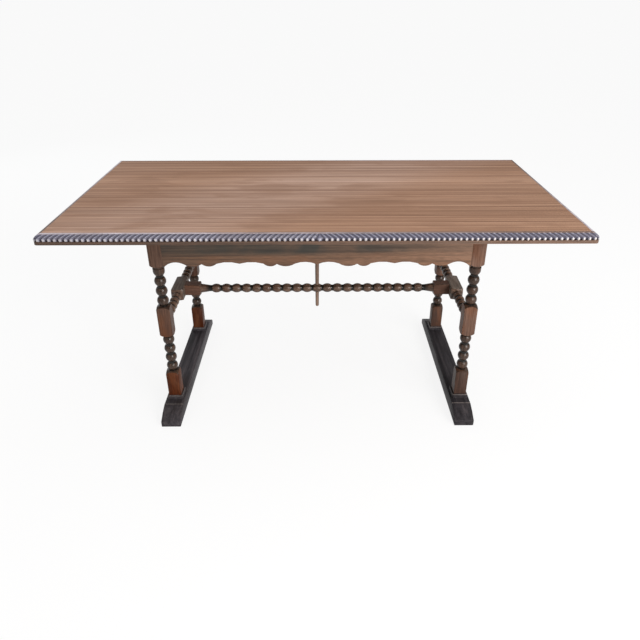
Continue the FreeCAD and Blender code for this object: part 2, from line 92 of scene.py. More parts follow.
class RunEnds(Enum):
    """How a run of bobbins meets what follows it."""

    PLAIN = 0
    CUP = 1
    FLARED = 2


class EdgePart(Enum):
    """The parts of an edge moulding, by the number of their finish."""

    CARVING = 0
    BAND = 1
    LIP = 2


class Side(Enum):
    """The four sides of the top, as quarter turns from the front."""

    FRONT = 0
    RIGHT = 1
    REAR = 2
    LEFT = 3

    @property
    def grain(self) -> Grain:
        """The way a piece on this side runs."""
        return Grain.LENGTH if self in (Side.FRONT, Side.REAR) else Grain.DEPTH


# Drawing and shaping helpers


@dataclass
class Outline:
    """A chain of points drawn by lines and circular arcs."""

    points: list[Vector] = field(default_factory=list)

    def line(self, x: float, y: float) -> "Outline":
        """Draws a straight line to a point, or starts there."""
        self.points.append(Vector((x, y)))
        return self

    def arc(self, x: float, y: float, rise: float, least: int = 2) -> "Outline":
        """Draws an arc to a point.

        Args:
            x: First coordinate of the end.
            y: Second coordinate of the end.
            rise: Height of the arc over its chord, positive to the left of the way.
            least: Least number of steps.

        Returns:
            The outline itself, so that calls can follow one another.
        """
        start, end = self.points[-1], Vector((x, y))
        along = (end - start).normalized()
        outward = Vector((-along.y, along.x)) * math.copysign(1, rise)
        half = (end - start).length / 2
        radius = (half**2 + rise**2) / (2 * abs(rise))
        centre = (start + end) / 2 + outward * (abs(rise) - radius)
        reach = math.asin(min(1, half / radius))
        steps = max(least, math.ceil(2 * reach / ARC_STEP))
        for step in range(1, steps + 1):
            angle = reach * (2 * step / steps - 1)
            self.points.append(centre + radius * (along * math.sin(angle) + outward * math.cos(angle)))
        return self


def whole(bm: BMesh) -> list[BMVert | BMEdge | BMFace]:
    """All the vertices, edges and faces of a mesh."""
    return [*bm.verts, *bm.edges, *bm.faces]


def move(bm: BMesh, way: Vector | Place) -> None:
    """Moves a mesh."""
    bmesh.ops.translate(bm, verts=bm.verts, vec=way)


def rotate(bm: BMesh, angle: float, axis: str) -> None:
    """Turns a mesh about an axis through the origin."""
    bmesh.ops.rotate(bm, verts=bm.verts, cent=(0, 0, 0), matrix=Matrix.Rotation(angle, 3, axis))


def score(bm: BMesh, place: Place, normal: Place) -> None:
    """Runs a line of edges round a mesh where a plane meets it."""
    bmesh.ops.bisect_plane(bm, geom=whole(bm), dist=MERGE_DISTANCE, plane_co=place, plane_no=normal)


def to_side(bm: BMesh, side: Side, reach: float, height: float = 0.0) -> None:
    """Carries a mesh that runs along X, its outer face on Y zero, out to its side of the table and up."""
    move(bm, (0, -reach, height))
    rotate(bm, side.value * QUARTER_TURN, "Z")


def add_box(bm: BMesh, low: Vector, high: Vector) -> list[BMVert]:
    """Adds a box between two corners to a mesh and gives its vertices."""
    place = Matrix.Translation((low + high) / 2) @ Matrix.Diagonal((*(high - low), 1))
    return bmesh.ops.create_cube(bm, size=1, matrix=place)["verts"]


def slab_mesh(outline: Outline, thickness: float) -> BMesh:
    """A board of an outline drawn in X and Z, its front face at Y zero and its thickness towards +Y.

    Args:
        outline: The closed outline, without its first point repeated.
        thickness: Thickness of the board.

    Returns:
        The board's mesh.
    """
    bm = bmesh.new()
    corners = [bm.verts.new((point.x, 0, point.y)) for point in outline.points]
    face = bm.faces.new(corners)
    grown = bmesh.ops.extrude_face_region(bm, geom=[face])["geom"]
    moved = [item for item in grown if isinstance(item, BMVert)]
    bmesh.ops.translate(bm, verts=moved, vec=(0, thickness, 0))
    bmesh.ops.recalc_face_normals(bm, faces=bm.faces)
    return bm


def lathe_mesh(outline: Outline) -> BMesh:
    """A solid turned about Z.

    Args:
        outline: Radius and height, from the axis to the axis.

    Returns:
        The solid's mesh.
    """
    bm = bmesh.new()
    chain = [bm.verts.new((point.x, 0, point.y)) for point in outline.points]
    edges = [bm.edges.new(pair) for pair in zip(chain, chain[1:])]
    bmesh.ops.spin(bm, geom=chain + edges, cent=(0, 0, 0), axis=(0, 0, 1), angle=math.tau,
                   steps=SPIN_STEPS, use_merge=True)
    bmesh.ops.remove_doubles(bm, verts=bm.verts, dist=MERGE_DISTANCE)
    bmesh.ops.recalc_face_normals(bm, faces=bm.faces)
    return bm


def cut_flat(bm: BMesh, point: Vector, normal: Vector) -> None:
    """Cuts away what lies beyond a plane and closes the cut.

    Args:
        bm: The mesh to cut.
        point: A point of the plane.
        normal: The plane's normal, towards the waste.
    """
    cut = bmesh.ops.bisect_plane(bm, geom=whole(bm), dist=MERGE_DISTANCE, plane_co=point,
                                 plane_no=normal, clear_outer=True)["geom_cut"]
    edges = [item for item in cut if isinstance(item, BMEdge) and item.is_boundary]
    bmesh.ops.holes_fill(bm, edges=edges, sides=0)


def round_over(bm: BMesh, edges: list[BMEdge], width: float, segments: int) -> None:
    """Rounds some edges of a mesh over."""
    bmesh.ops.bevel(bm, geom=edges, offset=width, offset_type="OFFSET", affect="EDGES", segments=segments,
                    profile=0.5, clamp_overlap=True, material=-1)


def ease_edges(bm: BMesh, width: float, segments: int = 2, along: Vector | None = None) -> None:
    """Rounds the sharp edges of a mesh, as hands and wear do.

    Args:
        bm: The mesh to ease.
        width: Width of the rounding.
        segments: Number of faces across it.
        along: Where given, only edges that run this way are eased.
    """
    joins = [edge for edge in bm.edges if len(edge.link_faces) == 2]
    sharp = [edge for edge in joins if edge.calc_face_angle() > SHARP_ANGLE]
    if along is not None:
        sharp = [edge for edge in sharp
                 if abs((edge.verts[1].co - edge.verts[0].co).normalized().dot(along)) > SAME_WAY]
    round_over(bm, sharp, width, segments)


def mark(bm: BMesh, name: str, share: Callable[[Vector], float]) -> None:
    """Stores a share from 0 to 1 on each vertex.

    Args:
        bm: The mesh to mark.
        name: The clean-and-lit share, from 0 where grime and painted shade darken a hollow to 1 on a clean,
            lit ridge, or the share of painted light and wear, 1 where light is painted and where the polish
            has gone.
        share: A function from a vertex's place to its share.
    """
    layer = bm.verts.layers.float.get(name) or bm.verts.layers.float.new(name)
    for vert in bm.verts:
        vert[layer] = min(1.0, max(0.0, share(vert.co)))


def ramp_share(value: float, low: float, high: float) -> float:
    """Where a value lies between two ends, as a share."""
    return min(1.0, max(0.0, (value - low) / (high - low)))


def finished_mesh(name: str, bm: BMesh) -> bpy.types.Mesh:
    """A mesh of a bmesh, which is freed.

    Args:
        name: The mesh's name.
        bm: The bmesh.

    Returns:
        The mesh.
    """
    mesh = bpy.data.meshes.new(name)
    bm.to_mesh(mesh)
    bm.free()
    return mesh


def new_object(name: str, data: bpy.types.ID) -> bpy.types.Object:
    """A new object in the scene.

    Args:
        name: The object's name.
        data: Its mesh, light or camera.

    Returns:
        The object, at the origin.
    """
    thing = bpy.data.objects.new(name, data)
    bpy.context.scene.collection.objects.link(thing)
    return thing


def place_piece(bm: BMesh, node: str, slot: str, *materials: Material) -> None:
    """Makes a finished mesh the piece that stands for a CAD node.

    Args:
        bm: The finished mesh, in the shared frame. It is freed.
        node: Name of the CAD node.
        slot: Not used.
        materials: The finishes, in the order of the mesh's material indices.
    """
    bmesh.ops.remove_doubles(bm, verts=bm.verts, dist=MERGE_DISTANCE)
    bmesh.ops.recalc_face_normals(bm, faces=bm.faces)
    mesh = finished_mesh(f"{node}_mesh", bm)
    mesh.shade_smooth()
    mesh.set_sharp_from_angle(angle=SMOOTH_ANGLE)
    for material in materials:
        mesh.materials.append(material)
    piece = new_object(f"{node}_dressed", mesh)
    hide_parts(node)
    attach(piece, BODY)
    LOG.info("%s: %d faces, stands for %s", piece.name, len(mesh.polygons), node)


# Finishes

# Detail, roughness and wander of the noises in the finishes
RIBBON_NOISE = (4, 0.62, 0.2)
FIBRE_NOISE = (3, 0.6, 0.0)
CLOUD_NOISE = (3, 0.5, 0.4)
SPECK_NOISE = (4, 0.6, 0.0)
# Length of a cloud in widths
CLOUD_STRETCH = 2
# Levels of the noises where the ribbons, fibres, stains, grime with painted shade and gloss change
RIBBON_STOPS = (0.3, 0.5, 0.7)
FIBRE_STOPS = (0.32, 0.62)
STAIN_LEVELS = (0.5, 0.66)
SOIL_AND_SHADE_LEVELS = (0.34, 0.6)
GLOSS_LEVELS = (0.3, 0.7)
# Tone of the dark streaks in low wood and under painted light and wear, and the level where their colour is
# full
LOW_STREAKS = (0.6, 0.6)
LIGHT_AND_WEAR_STREAKS = (0.55, 0.55)
# Clean-and-lit share above which no grime and no painted shade is left, share of pale wood in a paler strip,
# and its soft edges in widths
CLEAN_AND_LIT_LEVEL = 0.6
STRIP_SHARE = 0.6
STRIP_EDGE = 0.25
# How far fibres go darker and lighter, in fibre depths, and the strength of their bump
FIBRE_DARK = 2
FIBRE_LIGHT = 1 / 3
FIBRE_BUMP = 0.35
# Sockets of a Mix node for colours, by number
MIX_FACTOR, MIX_FIRST, MIX_SECOND, MIX_RESULT = 0, 6, 7, 2


def toned(colour: Colour, tone: float) -> Colour:
    """A colour made paler or darker."""
    return tuple(tone * part for part in colour)


class NodeSheet:
    """A node tree with short calls that add nodes and join them."""

    def __init__(self, tree: bpy.types.NodeTree) -> None:
        """Empties the tree and keeps it."""
        self.tree = tree
        tree.nodes.clear()

    def add(self, kind: str, inputs: dict[str | int, object] | None = None,
            **settings: str) -> bpy.types.Node:
        """Adds a node.

        Args:
            kind: The node's type.
            inputs: Values or sockets for its inputs, by name or number.
            settings: Values for its properties.

        Returns:
            The new node.
        """
        node = self.tree.nodes.new(kind)
        for name, value in settings.items():
            setattr(node, name, value)
        for key, value in (inputs or {}).items():
            if isinstance(value, NodeSocket):
                self.tree.links.new(value, node.inputs[key])
            else:
                node.inputs[key].default_value = value
        return node

    def place(self) -> NodeSocket:
        """The Object coordinates, as a socket."""
        return self.add("ShaderNodeTexCoord").outputs["Object"]

    def axis(self, vector: NodeSocket, name: str) -> NodeSocket:
        """One coordinate of a place, as a socket."""
        return self.add("ShaderNodeSeparateXYZ", {0: vector}).outputs[name]

    def attribute(self, name: str) -> NodeSocket:
        """A share that is stored on the mesh, as a socket."""
        return self.add("ShaderNodeAttribute", attribute_name=name).outputs["Fac"]

    def combine(self, operation: str, first: NodeSocket, second: NodeSocket | float = 0.0) -> NodeSocket:
        """What an operation makes of one or two values, as a socket."""
        return self.add("ShaderNodeMath", {0: first, 1: second}, operation=operation).outputs[0]

    def noise(self, vector: NodeSocket, detail: float, rough: float, wander: float) -> NodeSocket:
        """A noise of unit scale on a stretched place, as a factor socket."""
        return self.add("ShaderNodeTexNoise", {"Vector": vector, "Scale": 1.0, "Detail": detail,
                                               "Roughness": rough, "Distortion": wander}).outputs[0]

    def ramp(self, factor: NodeSocket, *stops: tuple[float, Colour]) -> NodeSocket:
        """A colour ramp.

        Args:
            factor: What the ramp reads.
            stops: Pairs of place and colour.

        Returns:
            The ramp's colour socket.
        """
        node = self.add("ShaderNodeValToRGB", {0: factor})
        elements = node.color_ramp.elements
        while len(elements) < len(stops):
            elements.new(1.0)
        for element, (place, colour) in zip(elements, stops):
            element.position = place
            element.color = (*colour, 1)
        return node.outputs[0]

    def mix(self, factor: NodeSocket | float, first: NodeSocket | Colour, second: NodeSocket | Colour,
            blend: str = "MIX") -> NodeSocket:
        """Two colours mixed, with the factor as the share of the second, as a socket."""
        colours = [(*item, 1) if isinstance(item, tuple) else item for item in (first, second)]
        return self.add("ShaderNodeMix", {MIX_FACTOR: factor, MIX_FIRST: colours[0],
                                          MIX_SECOND: colours[1]}, data_type="RGBA",
                        blend_type=blend).outputs[MIX_RESULT]

    def streaks(self, ribbons: NodeSocket, colour: Colour, tone: float, full: float) -> NodeSocket:
        """A colour with darker streaks where the ribbons are dark, as a socket."""
        return self.ramp(ribbons, (RIBBON_STOPS[0], toned(colour, tone)), (full, colour))

    def remap(self, value: NodeSocket, low: float, high: float, to_low: float,
              to_high: float) -> NodeSocket:
        """A value carried from one span to another, with soft ends, as a socket."""
        inputs = {"Value": value, "From Min": low, "From Max": high, "To Min": to_low, "To Max": to_high}
        return self.add("ShaderNodeMapRange", inputs, interpolation_type="SMOOTHSTEP").outputs[0]

    def stretched(self, place: NodeSocket, grain: Grain, run: float, pitch: float,
                  shift: float) -> NodeSocket:
        """A place counted in grain lengths along the fibres and pitches across them.

        Args:
            place: The Object coordinates.
            grain: The way the fibres run.
            run: Length of the grain.
            pitch: Distance across it.
            shift: How far the figure is moved.

        Returns:
            The counted place's socket.
        """
        scale = [1 / pitch] * 3
        scale[grain.value] = 1 / run
        return self.add("ShaderNodeMapping", {"Vector": place, "Location": (shift, shift, shift),
                                              "Scale": scale}).outputs[0]


def blank_material(name: str) -> tuple[Material, NodeSheet]:
    """A new material.

    Args:
        name: Its name.

    Returns:
        The material and its empty sheet of nodes.
    """
    material = bpy.data.materials.new(name)
    material.use_nodes = True
    return material, NodeSheet(material.node_tree)


@dataclass(frozen=True)
class WoodFinish:
    """Old polished wood: ribbons of colour along the grain, fine fibres, stains, and grime with painted shade
    in the hollows.

    Where they are given, strip is where a board is paler, painted sheen a pale bluish band that stands for a
    reflection in the polish with another tone beside it, the colour of painted light and wear that where
    light and highlights are painted and where the polish has gone, bright that of painted highlights on
    crests, and low that near the floor.
    """

    name: str
    heart: Colour
    dark: Colour
    pale: Colour
    stain: Colour
    dirt: Colour
    stain_share: float = 0.3
    stain_size: float = 0.12
    ribbon_run: float = 0.9
    ribbon_pitch: float = 0.016
    fibre_run: float = 0.05
    fibre_pitch: float = 0.0016
    fibre_depth: float = 0.22
    smooth: float = 0.28
    rough: float = 0.46
    coat: float = 0.0
    coat_rough: float = 0.14
    index: float = 1.5
    relief: float = 0.00025
    shift: float = 0.0
    strip: tuple[float, float] | None = None
    painted_sheen: Colour | None = None
    painted_sheen_off: Colour = (0.92, 0.89, 0.88)
    painted_sheen_middle: float = -0.1
    painted_sheen_turn: float = 0.733
    painted_sheen_reach: tuple[float, float] = (0.06, 0.36)
    patchy: float = 0.0
    worn: Colour | None = None
    bright: Colour | None = None
    low: Colour | None = None
    low_heights: tuple[float, float] = (0.12, 0.5)

    def material(self, grain: Grain) -> Material:
        """The finish as a material.

        Args:
            grain: The way the fibres run.

        Returns:
            A material that reads Object coordinates and the shares of grime with painted shade and of painted
            light with wear.
        """
        material, sheet = blank_material(f"{self.name}_{grain.name.lower()}")
        place = sheet.place()
        sizes = ((self.ribbon_run, self.ribbon_pitch), (self.fibre_run, self.fibre_pitch),
                 (self.stain_size * CLOUD_STRETCH, self.stain_size))
        ribbons, fibres, clouds = (
            sheet.noise(sheet.stretched(place, grain, run, pitch, self.shift), *kind)
            for (run, pitch), kind in zip(sizes, (RIBBON_NOISE, FIBRE_NOISE, CLOUD_NOISE)))
        colour = self.polish(sheet, place, ribbons)
        colour = sheet.mix(sheet.remap(clouds, *STAIN_LEVELS, 0, self.stain_share), colour, self.stain)
        tones = (1 - self.fibre_depth * FIBRE_DARK, 1 + self.fibre_depth * FIBRE_LIGHT)
        shade = sheet.ramp(fibres, *((stop, (tone,) * 3) for stop, tone in zip(FIBRE_STOPS, tones)))
        colour = sheet.mix(1.0, colour, shade, "MULTIPLY")
        # Grime and painted shade in the hollows, mottled by the clouds
        dirt_and_shade_share = sheet.remap(sheet.attribute(CLEAN_AND_LIT), 0.0, CLEAN_AND_LIT_LEVEL, 1, 0)
        soil_and_shade = sheet.combine("MULTIPLY", dirt_and_shade_share, sheet.remap(clouds, *SOIL_AND_SHADE_LEVELS, 1 - self.patchy, 1))
        soiled_and_shaded = sheet.ramp(ribbons, (RIBBON_STOPS[0], toned(self.dirt, 1 - self.patchy)),
                            (RIBBON_STOPS[2], toned(self.dirt, 1 + self.patchy)))
        colour = sheet.mix(soil_and_shade, colour, soiled_and_shaded)
        bump = sheet.add("ShaderNodeBump",
                         {"Height": fibres, "Strength": FIBRE_BUMP, "Distance": self.relief})
        shader = sheet.add("ShaderNodeBsdfPrincipled", {
            "Base Color": colour, "Roughness": sheet.remap(clouds, *GLOSS_LEVELS, self.smooth, self.rough),
            "Normal": bump.outputs[0], "Coat Weight": self.coat, "Coat Roughness": self.coat_rough,
            "IOR": self.index})
        sheet.add("ShaderNodeOutputMaterial", {0: shader.outputs[0]})
        return material

    def polish(self, sheet: NodeSheet, place: NodeSocket, ribbons: NodeSocket) -> NodeSocket:
        """The ribbons' colours, with what this finish has of strip, painted sheen, low wood, and painted
        light and wear.

        Args:
            sheet: The material's nodes.
            place: The Object coordinates.
            ribbons: The ribbons' noise.

        Returns:
            The colour's socket.
        """
        colour = sheet.ramp(ribbons, *zip(RIBBON_STOPS, (self.dark, self.heart, self.pale)))
        if self.strip:
            colour = self.paler_strip(sheet, place, colour)
        # A band of painted sheen that stands for a reflection in the polish
        if self.painted_sheen:
            colour = self.painted_sheen_band(sheet, place, colour)
        if self.low:
            lower = sheet.streaks(ribbons, self.low, *LOW_STREAKS)
            colour = sheet.mix(sheet.remap(sheet.axis(place, "Z"), *self.low_heights, 1, 0), colour, lower)
        # Painted light and wear in their colour, and above half painted highlights in the bright colour
        if self.worn:
            light_and_wear_share = sheet.attribute(PAINTED_LIGHT_AND_WEAR)
            light_and_wear_colour = sheet.streaks(ribbons, self.worn, *LIGHT_AND_WEAR_STREAKS)
            colour = sheet.mix(sheet.remap(light_and_wear_share, 0, HALF_LIGHT_AND_WEAR if self.bright else 1, 0, 1), colour, light_and_wear_colour)
            if self.bright:
                colour = sheet.mix(sheet.remap(light_and_wear_share, HALF_LIGHT_AND_WEAR, 1, 0, 1), colour, self.bright)
        return colour

    def painted_sheen_band(self, sheet: NodeSheet, place: NodeSocket, colour: NodeSocket) -> NodeSocket:
        """A painted sheen: a pale bluish tint that stands for the reflection in the polish, in a broad band
        that crosses the table at a slant, with a slightly darker tone beside it.

        Args:
            sheet: The material's nodes.
            place: The Object coordinates.
            colour: The colour so far.

        Returns:
            The colour's socket with the painted sheen in it.
        """
        offset = self.painted_sheen_middle * math.sin(self.painted_sheen_turn)
        turned = sheet.add("ShaderNodeMapping", {"Vector": place, "Location": (0, offset, 0),
                                                 "Rotation": (0, 0, -self.painted_sheen_turn)}).outputs[0]
        away = sheet.combine("ABSOLUTE", sheet.axis(turned, "Y"))
        tone = sheet.mix(sheet.remap(away, *self.painted_sheen_reach, 1, 0), self.painted_sheen_off, self.painted_sheen)
        return sheet.mix(1.0, colour, tone, "MULTIPLY")

    def paler_strip(self, sheet: NodeSheet, place: NodeSocket, colour: NodeSocket) -> NodeSocket:
        """A paler strip of the board along the grain.

        Args:
            sheet: The material's nodes.
            place: The Object coordinates.
            colour: The colour so far.

        Returns:
            The colour's socket with the strip in it.
        """
        low, high = self.strip
        edge = (high - low) * STRIP_EDGE
        across = sheet.axis(place, "Y")
        rise = sheet.remap(across, low, low + edge, 0, STRIP_SHARE)
        fall = sheet.remap(across, high - edge, high + edge, 1, 0)
        return sheet.mix(sheet.combine("MULTIPLY", rise, fall), colour, self.pale)

    def tinted(self, label: str, tint: float, shift: float = 0.0) -> "WoodFinish":
        """The same finish made paler or darker, with its figure moved by a shift."""
        colours = {name: toned(getattr(self, name), tint) for name in ("heart", "dark", "pale")}
        return replace(self, name=f"{self.name}_{label}", shift=shift, **colours)


@dataclass(frozen=True)
class SteelFinish:
    """Dull screw steel with a little rust."""

    name: str
    bright: Colour
    rust: Colour
    speck_size: float = 0.003
    speck_levels: tuple[float, float] = (0.42, 0.68)
    metal: float = 0.9
    smooth: float = 0.32
    rough: float = 0.6

    def material(self) -> Material:
        """The finish as a material.

        Returns:
            A material on Object coordinates.
        """
        material, sheet = blank_material(self.name)
        spot = sheet.stretched(sheet.place(), Grain.HEIGHT, self.speck_size, self.speck_size, 0)
        specks = sheet.noise(spot, *SPECK_NOISE)
        colour = sheet.ramp(specks, *zip(self.speck_levels, (self.bright, self.rust)))
        shader = sheet.add("ShaderNodeBsdfPrincipled", {
            "Base Color": colour, "Metallic": self.metal,
            "Roughness": sheet.remap(specks, *GLOSS_LEVELS, self.smooth, self.rough)})
        sheet.add("ShaderNodeOutputMaterial", {0: shader.outputs[0]})
        return material


# The top's pale bluish band is a painted sheen, a reflection of the sky in its polish
TOP_POLISH_AND_SHEEN = WoodFinish(
    "top_polish_and_sheen", heart=(0.415, 0.24, 0.153), dark=(0.23, 0.122, 0.074), pale=(0.555, 0.345, 0.235),
    stain=(0.31, 0.172, 0.11), dirt=(0.16, 0.09, 0.06), stain_share=0.45, ribbon_run=2.6,
    ribbon_pitch=0.012, fibre_run=0.25, fibre_pitch=0.0028, fibre_depth=0.13, smooth=0.62, rough=0.74,
    relief=0.0001, index=1.28, strip=(0.09, 0.15), painted_sheen=(1.06, 1.14, 1.3))
# The lip's pale pinkish colour is a painted sheen on the rounded edge, giving way to brown towards the right
LIP_SHEEN = WoodFinish(
    "lip_polish", heart=(0.51, 0.45, 0.49), dark=(0.34, 0.29, 0.31), pale=(0.6, 0.55, 0.6),
    stain=(0.25, 0.17, 0.14), dirt=(0.16, 0.09, 0.06), ribbon_run=0.05, fibre_depth=0.1, smooth=0.5,
    rough=0.65, index=1.35, worn=(0.155, 0.1, 0.082))
# The carving's bluish tint and pale bluish stroke crests are painted reflection of the sky with some wear;
# its bright bead crests are painted highlights
CARVED_POLISH_AND_SHEEN = WoodFinish(
    "carved_polish_and_sheen", heart=(0.106, 0.101, 0.152), dark=(0.064, 0.059, 0.086), pale=(0.146, 0.141, 0.203),
    stain=(0.11, 0.08, 0.088), dirt=(0.036, 0.03, 0.043), fibre_depth=0.06, smooth=0.42, rough=0.52,
    coat=0.1, worn=(0.42, 0.415, 0.485), bright=(0.7, 0.63, 0.56))
# The band's paler colour is painted light, growing towards its right end
BAND_POLISH_AND_LIGHT = WoodFinish(
    "band_polish", heart=(0.078, 0.045, 0.031), dark=(0.045, 0.026, 0.018), pale=(0.115, 0.066, 0.045),
    stain=(0.07, 0.045, 0.033), dirt=(0.02, 0.013, 0.01), ribbon_pitch=0.006, smooth=0.45, rough=0.6,
    index=1.4, worn=(0.185, 0.107, 0.073))
# The apron's greenish dark is grime with the painted shadow of the top; its paler colour is painted light
# towards the right end
APRON_POLISH_AND_SHADE = WoodFinish(
    "apron_polish_and_shade", heart=(0.118, 0.063, 0.037), dark=(0.056, 0.03, 0.018), pale=(0.18, 0.1, 0.06),
    stain=(0.19, 0.088, 0.047), dirt=(0.034, 0.032, 0.026), stain_share=0.5, stain_size=0.07,
    ribbon_run=0.35, ribbon_pitch=0.007, fibre_run=0.03, fibre_pitch=0.0013, smooth=0.42, rough=0.58,
    index=1.42, patchy=0.5, worn=(0.255, 0.137, 0.083))
# The dark in the turnings' necks is grime with painted shade
TURNED_POLISH = WoodFinish(
    "turned_polish", heart=(0.052, 0.032, 0.023), dark=(0.022, 0.014, 0.01), pale=(0.09, 0.055, 0.039),
    stain=(0.085, 0.038, 0.022), dirt=(0.009, 0.008, 0.007), stain_share=0.5, stain_size=0.06,
    ribbon_run=0.25, ribbon_pitch=0.01, smooth=0.16, rough=0.24, index=1.33)
BLOCK_POLISH = WoodFinish(
    "block_polish", heart=(0.133, 0.075, 0.054), dark=(0.08, 0.045, 0.032), pale=(0.173, 0.103, 0.075),
    stain=(0.15, 0.055, 0.024), dirt=(0.07, 0.042, 0.03), stain_share=0.55, stain_size=0.07,
    ribbon_run=0.2, ribbon_pitch=0.006, smooth=0.42, rough=0.56, index=1.24, low=(0.078, 0.018, 0.006))
DUSTY_POLISH = WoodFinish(
    "dusty_polish", heart=(0.125, 0.1, 0.081), dark=(0.07, 0.053, 0.042), pale=(0.175, 0.145, 0.122),
    stain=(0.11, 0.06, 0.04), dirt=(0.07, 0.045, 0.034), stain_share=0.4, stain_size=0.05,
    ribbon_run=0.15, ribbon_pitch=0.006, smooth=0.45, rough=0.6, index=1.38)
# The feet's pale colour is painted highlights along the toe breaks and the plinths' upper edges
FOOT_POLISH_AND_HIGHLIGHTS = WoodFinish(
    "foot_polish_and_highlights", heart=(0.04, 0.036, 0.041), dark=(0.018, 0.016, 0.018), pale=(0.072, 0.063, 0.068),
    stain=(0.035, 0.026, 0.023), dirt=(0.01, 0.009, 0.009), ribbon_run=0.4, smooth=0.46, rough=0.6,
    index=1.2, worn=(0.22, 0.19, 0.18))
PEG_WOOD = WoodFinish(
    "peg_wood", heart=(0.21, 0.13, 0.092), dark=(0.13, 0.078, 0.054), pale=(0.29, 0.19, 0.138),
    stain=(0.16, 0.1, 0.075), dirt=(0.06, 0.04, 0.032), ribbon_run=0.2, ribbon_pitch=0.004, smooth=0.42,
    rough=0.6)
INNER_WOOD = WoodFinish(
    "inner_wood", heart=(0.2, 0.13, 0.085), dark=(0.12, 0.075, 0.048), pale=(0.27, 0.18, 0.12),
    stain=(0.15, 0.1, 0.07), dirt=(0.2, 0.13, 0.085), smooth=0.6, rough=0.8, relief=0.0005)
SCREW_STEEL = SteelFinish("screw_steel", bright=(0.32, 0.31, 0.3), rust=(0.16, 0.08, 0.045))


# Sub-assemblies


@dataclass
class BoardedTop:
    """The boards of the top."""

    tints: tuple[float, ...] = (1.03, 0.97, 1.0, 1.06, 0.96)
    eased_edge: float = 0.0003

    def build(self, node: str) -> BMesh:
        """One board, with hairline eased edges.

        Args:
            node: The CAD node whose box it fills.

        Returns:
            The board in its place.
        """
        bm = bmesh.new()
        add_box(bm, *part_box(node))
        ease_edges(bm, self.eased_edge, segments=1)
        mark(bm, CLEAN_AND_LIT, lambda place: 1.0)
        return bm

    def dress(self, number: int, tint: float) -> Material:
        """One board's polish, its grain along the table and its figure shifted by its number."""
        return TOP_POLISH_AND_SHEEN.tinted(str(number), tint, float(number)).material(Grain.LENGTH)

    def make(self) -> None:
        """Builds and dresses every board."""
        for number, tint in enumerate(self.tints, start=1):
            node = f"top_board_{number}"
            place_piece(self.build(node), node, "top_wood", self.dress(number, tint))


